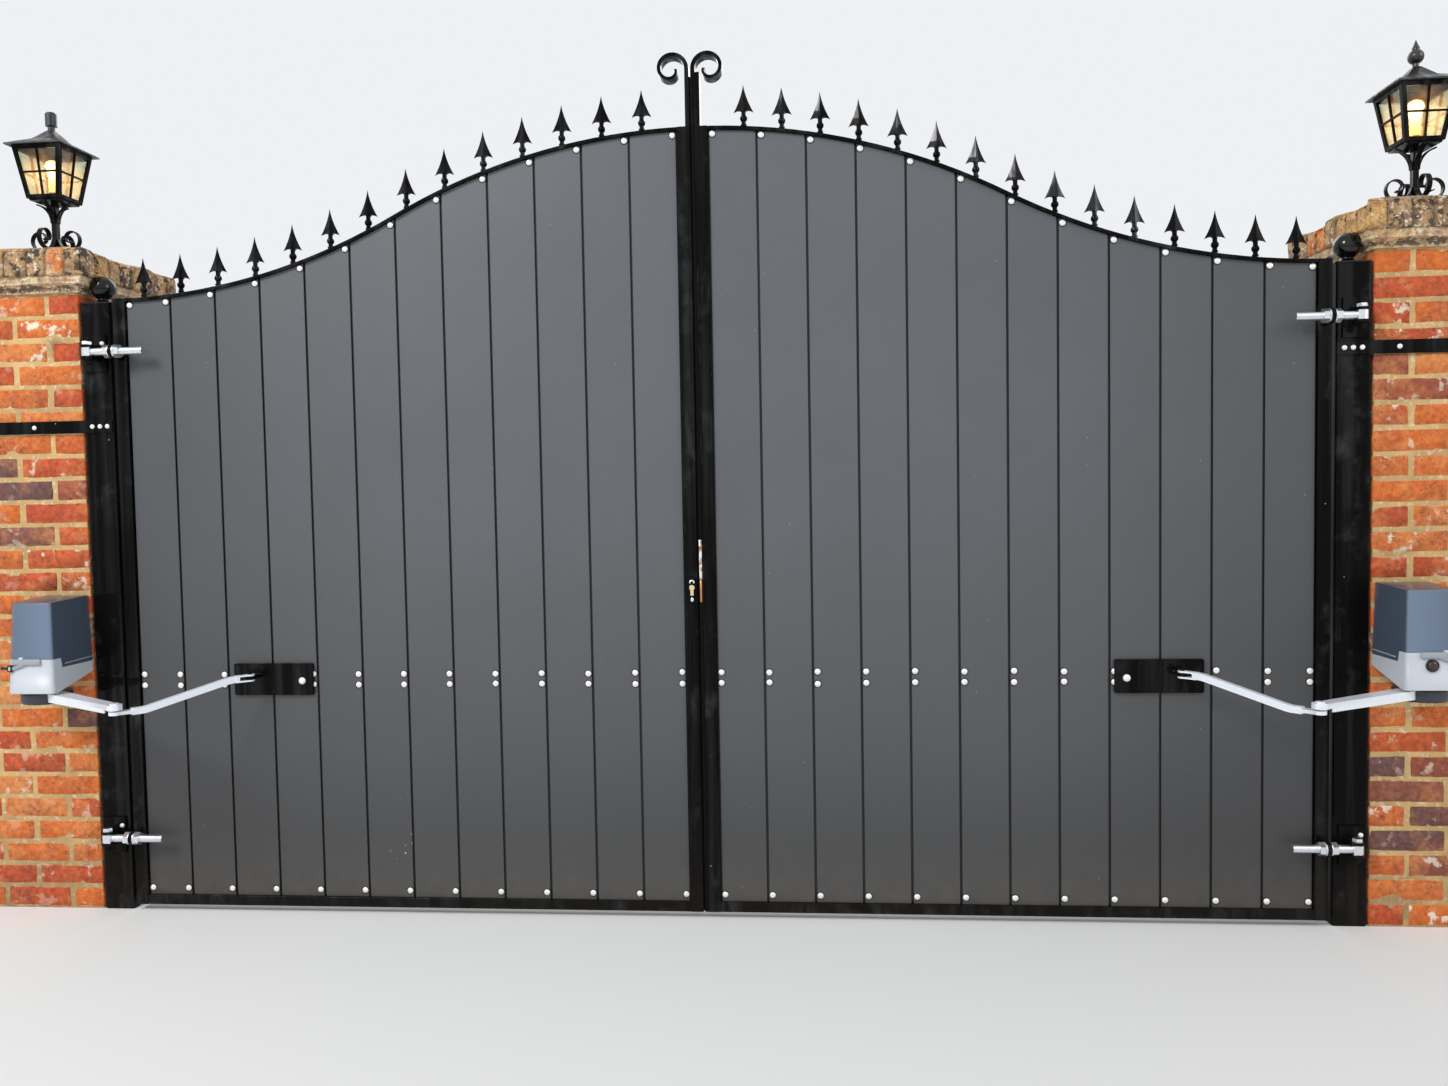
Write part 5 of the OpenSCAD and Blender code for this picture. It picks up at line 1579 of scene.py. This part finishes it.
    def key_knob(self, black, bright):
        """The left release: a bright lock in a black ring on the cut corner, with a short black lever."""
        angle = -0.3
        spot = low("left_opener_base") + self.KEY_SPOT
        turn = np.array([[math.cos(angle), -math.sin(angle), 0], [math.sin(angle), math.cos(angle), 0],
                         [0, 0, 1]])
        ring = turned([(0.0115, -0.008), (0.0115, 0.004), (0.0100, 0.0065), (0.0078, 0.0065),
                       (0.0070, 0.0035)], 32, "-Y")
        core = turned([(0.0070, -0.004), (0.0070, 0.0040), (0.0058, 0.0052), (0.0020, 0.0056)], 24, "-Y")
        points, faces = turned([(0.0030, 0.0), (0.0040, 0.004), (0.0040, 0.014), (0.0055, 0.017),
                                (0.0055, 0.023), (0.0030, 0.025)], 16, "X")
        lever = (points * np.array([-1, 1, 1]) + np.array([-0.010, -0.004, 0]), faces)
        for name, shape, material in (("ring", gathered([ring, lever]), black), ("core", core, bright)):
            points = shape[0] @ turn.T + spot
            piece(f"left_release_{name}", points, shape[1], material, "root")

    def round_knob(self, tinted, black):
        """The right release: a glossy dark red dome in a black ring on the front of the base."""
        a, b = low("right_opener_base"), high("right_opener_base")
        spot = np.array([(a[0] + b[0]) / 2, a[1], a[2]]) + self.KNOB_SPOT
        ring = turned([(0.0178, -0.010), (0.0178, 0.0015), (0.0168, 0.0032), (0.0150, 0.0034),
                       (0.0145, 0.0016)], 40, "-Y")
        head = dome(radius=0.0145, height=0.0092, rim=0.0012, back=0.004, steps=32, rings=7)
        piece("right_release_ring", ring[0] + spot, ring[1], black, "root")
        piece("right_release_head", head[0] + spot, head[1], tinted, "root")


class FitLanterns(bpy.types.Operator):
    """Fit the lanterns: iron, panes, bulb and its glow"""

    bl_idname = "gate.fit_lanterns"
    bl_label = "Fit lanterns"

    def execute(self, context):
        s = context.scene.gate.lanterns
        iron = paint_material("Lantern iron", context.scene.gate.paint, 0.12, sheen=0.5)
        roof = paint_material("Lantern roof", context.scene.gate.paint, 0.3, sheen=1.0, scuffs=0.4)
        set_specular(roof, 0.5)
        glass = glass_material("Seeded glass", s)
        bulb = bulb_material(s)
        for side in SIDES:
            dressed(f"{side}_lantern_stand", iron, bevel=0.7)
            dressed(f"{side}_lantern_frame", iron, bevel=0.0)
            dressed(f"{side}_lantern_roof", roof, bevel=0.7)
            node = f"{side}_lantern_glass"
            panes = piece(f"{side}_panes", *self.panes(node), glass, "root", angle=30, replaces=[node])
            dressed(f"{side}_lantern_bulb", bulb, bevel=0.0)
        return {"FINISHED"}

    @staticmethod
    def panes(node):
        """Four leaning panes between the corner bars: one pane, turned by a quarter three times."""
        thick = 0.002
        clear = 0.003
        near = 0.002
        mesh = frame["nodes"][node].data
        points = np.empty(len(mesh.vertices) * 3)
        mesh.vertices.foreach_get("co", points)
        points = points.reshape(-1, 3)
        centre = middle(node)
        reach = np.abs(points[:, :2] - centre[:2]).max(1)
        z0, z1 = low(node)[2], high(node)[2]
        foot = reach[points[:, 2] < z0 + near].max()
        head = reach[points[:, 2] > z1 - near].max()
        pane = np.array([(s * (r - clear), -r + back, z) for z, r in ((z0, foot), (z1, head))
                         for back in (0.0, thick) for s in (-1, 1)])
        sides = [np.array([[0, 1, 3, 2], [4, 6, 7, 5], [0, 4, 5, 1], [2, 3, 7, 6], [0, 2, 6, 4],
                           [1, 5, 7, 3]])]
        quarter = np.array([[0, -1, 0], [1, 0, 0], [0, 0, 1]], float)
        turns = np.array([np.linalg.matrix_power(quarter, k) for k in range(4)])
        return repeated(pane, sides, [(centre[0], centre[1], 0.0)] * 4, turns)


class FitLock(bpy.types.Operator):
    """Fit the lock, its keeper on the other leaf and the rubber lip in the gap"""

    bl_idname = "gate.fit_lock"
    bl_label = "Fit lock"

    # The lock's cylinder above the foot of its plate, and beside the middle of its stile
    LOCK_UP = 0.040
    LOCK_SIDE = 0.002

    # The hood and the screw below it, from the cylinder's height
    HOOD_UP = 0.0165
    SCREW_DOWN = 0.0375

    # The keeper's plate and strip: width, depth, rounding and half length, and how high their middles lie
    PLATE = (0.0086, 0.0030, 0.0008, 0.063)
    STRIP = (0.0060, 0.0024, 0.0006, 0.034)
    PLATE_UP = 0.086
    STRIP_UP = -0.0115
    KEEPER_IN = 0.0046
    SCREW_PITCH = 0.052

    # The black lip, which stands in for the shade in the gap: how far it is sunk in its stile, its slit at
    # the front and the back, and its depths
    LIP_SUNK = 0.0003
    SLIT_FRONT = 0.0009
    SLIT_BACK = 0.0023
    LIP_FRONT = 0.004
    LIP_BACK = 0.040

    # Width and half thickness of the black facing of the stop bar, which paints shade between the stiles
    FACING_WIDE = 0.0094
    FACING_HALF = 0.0006

    # How far the lip stays below the scroll's top, the facing below its stile's, and both above the foot
    LIP_BELOW = 0.075
    FACING_BELOW = 0.004
    SEAL_UP = 0.002

    def execute(self, context):
        brass = metal_material("Brass", (0.95, 0.74, 0.42), 0.24, spangle=0.05, metallic=0.7)
        chrome = metal_material("Chrome", (0.88, 0.90, 0.92), 0.14, spangle=0.0)
        dressed("lock", brass, bevel=0.5)
        stile = "left_meeting_stile"
        x = (low(stile)[0] + high(stile)[0]) / 2 + self.LOCK_SIDE
        face = low(stile)[1]
        z = low("lock")[2] + self.LOCK_UP
        shape = gathered([self.hood(x, face, z + self.HOOD_UP), self.head(x, face, z - self.SCREW_DOWN)])
        piece("lock_trim", *shape, chrome, "left_leaf")
        self.keeper(z)
        self.shade_seals()
        return {"FINISHED"}

    @staticmethod
    def hood(x, y, z):
        """A rounded hood over the key: the upper half of a ring, as a circle carried round a half circle."""
        rows = 21
        steps = 12
        past = 0.35
        radius = 0.0062
        thick = 0.0030
        ahead = 0.0020
        turn = np.linspace(-past, np.pi + past, rows)[:, None]
        around = np.linspace(0, 2 * np.pi, steps, endpoint=False)[None, :]
        r = radius + thick * np.cos(around)
        points = np.stack([x + r * np.cos(turn), y - ahead + thick * np.sin(around) + 0 * turn,
                           z + r * np.sin(turn)], -1)
        return points.reshape(-1, 3), capped(rows, steps)

    @staticmethod
    def head(x, y, z):
        """A small oval screw head."""
        points, faces = dome(radius=0.0052, height=0.0030, rim=0.0008, back=0.001, steps=20)
        return points * np.array([1, 1, 1.3]) + np.array([x, y, z]), faces

    def keeper(self, z):
        """The keeper on the stop bar of the right leaf: a worn plate with two screws, and a brass strip."""
        x = low("right_meeting_stile")[0] + self.KEEPER_IN
        front = low("right_meeting_stile")[1] + 0.002
        steel = rusty_material("Rusty keeper")
        copper = metal_material("Worn brass strip", (0.62, 0.30, 0.10), 0.42, spangle=0.1)
        parts = [self.bar(self.PLATE, (x, front, z + self.PLATE_UP))]
        for dz in (-self.SCREW_PITCH, self.SCREW_PITCH):
            points, faces = dome(radius=0.0031, height=0.0014, rim=0.0002, back=0.001, steps=16)
            parts.append((points + np.array([x, front - 0.0015, z + self.PLATE_UP + dz]), faces))
        piece("keeper_plate", *gathered(parts), steel, "right_leaf")
        strip = self.bar(self.STRIP, (x, front, z + self.STRIP_UP))
        piece("keeper_strip", *strip, copper, "right_leaf")

    @staticmethod
    def bar(size, place):
        """A thin upright bar of a width, depth, rounding and half length, with its ends a little set in."""
        wide, deep, radius, half = size
        end = 0.0005
        inset = 0.4 * MM
        loop = loop_template(2, 1, 2)
        heights = np.array([-half, end - half, half - end, half])
        points = rounded_tower(loop, (wide, deep), radius, heights, np.array([inset, 0, 0, inset]))
        return points + np.array(place), capped(4, len(loop))

    def shade_seals(self):
        """The rubber lip on the left leaf, which fills the gap but for a slit, and the stop bar's facing.

        The slit is wider at its back, where the leaf swings out furthest.
        """
        # Matt black, so that lip and facing paint the shade of the gap
        shade_rubber = plastic_material("Black rubber", (0.004, 0.004, 0.004), 0.9, dust=0.0)
        set_specular(shade_rubber, 0.1)
        edge = high("left_meeting_stile")[0] - self.LIP_SUNK
        stop = low("right_meeting_stile")[0]
        face = low("left_scroll")[1]
        foot = low("left_meeting_stile")[2] + self.SEAL_UP
        front, back = face + self.LIP_FRONT, face + self.LIP_BACK
        lip = [(edge, front), (stop - self.SLIT_FRONT, front), (stop - self.SLIT_BACK, back), (edge, back)]
        end, half = stop + self.FACING_WIDE, self.FACING_HALF
        facing = [(stop, face - half), (end, face - half), (end, face + half), (stop, face + half)]
        lip_top = high("left_scroll")[2] - self.LIP_BELOW
        facing_top = high("right_meeting_stile")[2] - self.FACING_BELOW
        for name, outline, top, body in (("gap_shade_lip", lip, lip_top, "left_leaf"),
                                         ("stop_shade_facing", facing, facing_top, "right_leaf")):
            points = np.array([(x, y, z) for z in (foot, top) for x, y in outline])
            piece(name, points, capped(2, 4), shade_rubber, body)


class SetStage(bpy.types.Operator):
    """Set up the camera, the floor and the lights"""

    bl_idname = "gate.set_stage"
    bl_label = "Set stage"

    # Where the camera looks, and roughly what lies to its right
    FORWARD = np.array([-0.08219219, 0.99558995, -0.04522266])
    RIGHT = np.array([0.9965, 0.0815, -0.0173])

    FLOOR_REACH = 60
    FLOOR_Z = -0.0005

    # How brightly the surround lights the gate, and how much brighter it is seen
    SURROUND = 0.56
    SEEN_MORE = 0.34
    SURROUND_COLOUR = (0.95, 0.97, 1.0, 1.0)

    def execute(self, context):
        s = context.scene.gate.stage
        scene = context.scene
        scene.view_settings.view_transform = "Standard"
        self.camera(scene, s)
        self.floor(scene, s)
        self.world(scene)
        self.lamp(scene, "Key light", place=(-2.6, -5.2, 6.4), aim=(1.95, 0.0, 1.1), size=2.6, power=s.key)
        self.lamp(scene, "Fill light", place=(9.0, -3.4, 5.0), aim=(1.95, 0.0, 1.1), size=4.0, power=s.fill)
        self.lamp(scene, "Back light", place=(1.9, 6.0, 6.0), aim=(1.95, 0.0, 1.2), size=5.0, power=s.fill)
        return {"FINISHED"}

    def camera(self, scene, s):
        """The camera stands where the photograph was taken; its axes are right, up and backwards."""
        lens = bpy.data.cameras.new("Camera")
        lens.lens = s.lens
        lens.sensor_width = 36.0
        lens.clip_end = 200.0
        obj = bpy.data.objects.new("Camera", lens)
        across = self.RIGHT - self.FORWARD * self.RIGHT.dot(self.FORWARD)
        across /= np.linalg.norm(across)
        self.place(scene, obj, s.camera, across, -self.FORWARD)
        scene.camera = obj

    @staticmethod
    def place(scene, obj, place, across, back):
        """Puts an object at a place, with its own axes across, up and back."""
        turn = Matrix(np.stack([across, np.cross(back, across), back], axis=1).tolist()).to_4x4()
        obj.matrix_world = Matrix.Translation(place) @ turn
        scene.collection.objects.link(obj)

    def floor(self, scene, s):
        """A large pale floor that keeps the gate's shadow."""
        far = self.FLOOR_REACH
        corners = ((-far, -far), (far, -far), (far, far), (-far, far))
        points = np.array([(x, y, self.FLOOR_Z) for x, y in corners])
        mesh = fill_mesh("Floor", points, [np.array([[0, 1, 2, 3]])])
        material = plain_material("Pale floor", s.floor, Roughness=0.9)[0]
        set_specular(material, 0.1)
        mesh.materials.append(material)
        obj = bpy.data.objects.new("Floor", mesh)
        scene.collection.objects.link(obj)

    def world(self, scene):
        """A plain pale surround: seen brighter by the camera, metal and glass than it is as a light."""
        world = bpy.data.worlds.new("Surround")
        world.use_nodes = True
        tree = world.node_tree
        back = tree.nodes["Background"]
        path = put(tree, "ShaderNodeLightPath").outputs
        mirrored = maths(tree, "MAXIMUM", path["Is Glossy Ray"], path["Is Transmission Ray"])
        seen = maths(tree, "MAXIMUM", path["Is Camera Ray"], mirrored)
        back.inputs["Color"].default_value = self.SURROUND_COLOUR
        join(tree, maths(tree, "MULTIPLY_ADD", seen, self.SEEN_MORE, self.SURROUND), back, "Strength")
        scene.world = world

    def lamp(self, scene, name, place, aim, size, power):
        """A large soft area light aimed at a point."""
        light = bpy.data.lights.new(name, "AREA")
        light.shape = "SQUARE"
        light.size = size
        light.energy = power
        obj = bpy.data.objects.new(name, light)
        back = np.array(place) - np.array(aim)
        back /= np.linalg.norm(back)
        across = np.cross((0, 0, 1), back)
        across /= np.linalg.norm(across)
        self.place(scene, obj, place, across, back)


OPERATORS = (LayBricks, CarveStones, FitBoards, PaintSteel, SetRivets, FitHinges, FitOpeners, FitLanterns,
             FitLock, SetStage)


class GatePanel(bpy.types.Panel):
    """Buttons and settings of the gate"""

    bl_idname = "VIEW3D_PT_gate"
    bl_label = "Driveway gate"
    bl_space_type = "VIEW_3D"
    bl_region_type = "UI"
    bl_category = "Gate"

    def draw(self, context):
        settings = context.scene.gate
        for operator in OPERATORS:
            self.layout.operator(operator.bl_idname)
        for key, group in GROUPS.items():
            box = self.layout.box()
            box.label(text=group.__doc__.rstrip("."))
            for name in group.__annotations__:
                box.prop(getattr(settings, key), name)


CLASSES = (*GROUPS.values(), GateSettings, *OPERATORS, GatePanel)


def register():
    """Registers every class and the scene's settings."""
    for cls in CLASSES:
        bpy.utils.register_class(cls)
    bpy.types.Scene.gate = PointerProperty(type=GateSettings)


def unregister():
    """Takes the settings and every class away again."""
    del bpy.types.Scene.gate
    for cls in reversed(CLASSES):
        bpy.utils.unregister_class(cls)


def main():
    """Dresses the whole gate and writes how large it is beside the CAD model."""
    register()
    for operator in OPERATORS:
        group, name = operator.bl_idname.split(".")
        getattr(getattr(bpy.ops, group), name)()


if __name__ == "__main__":
    main()
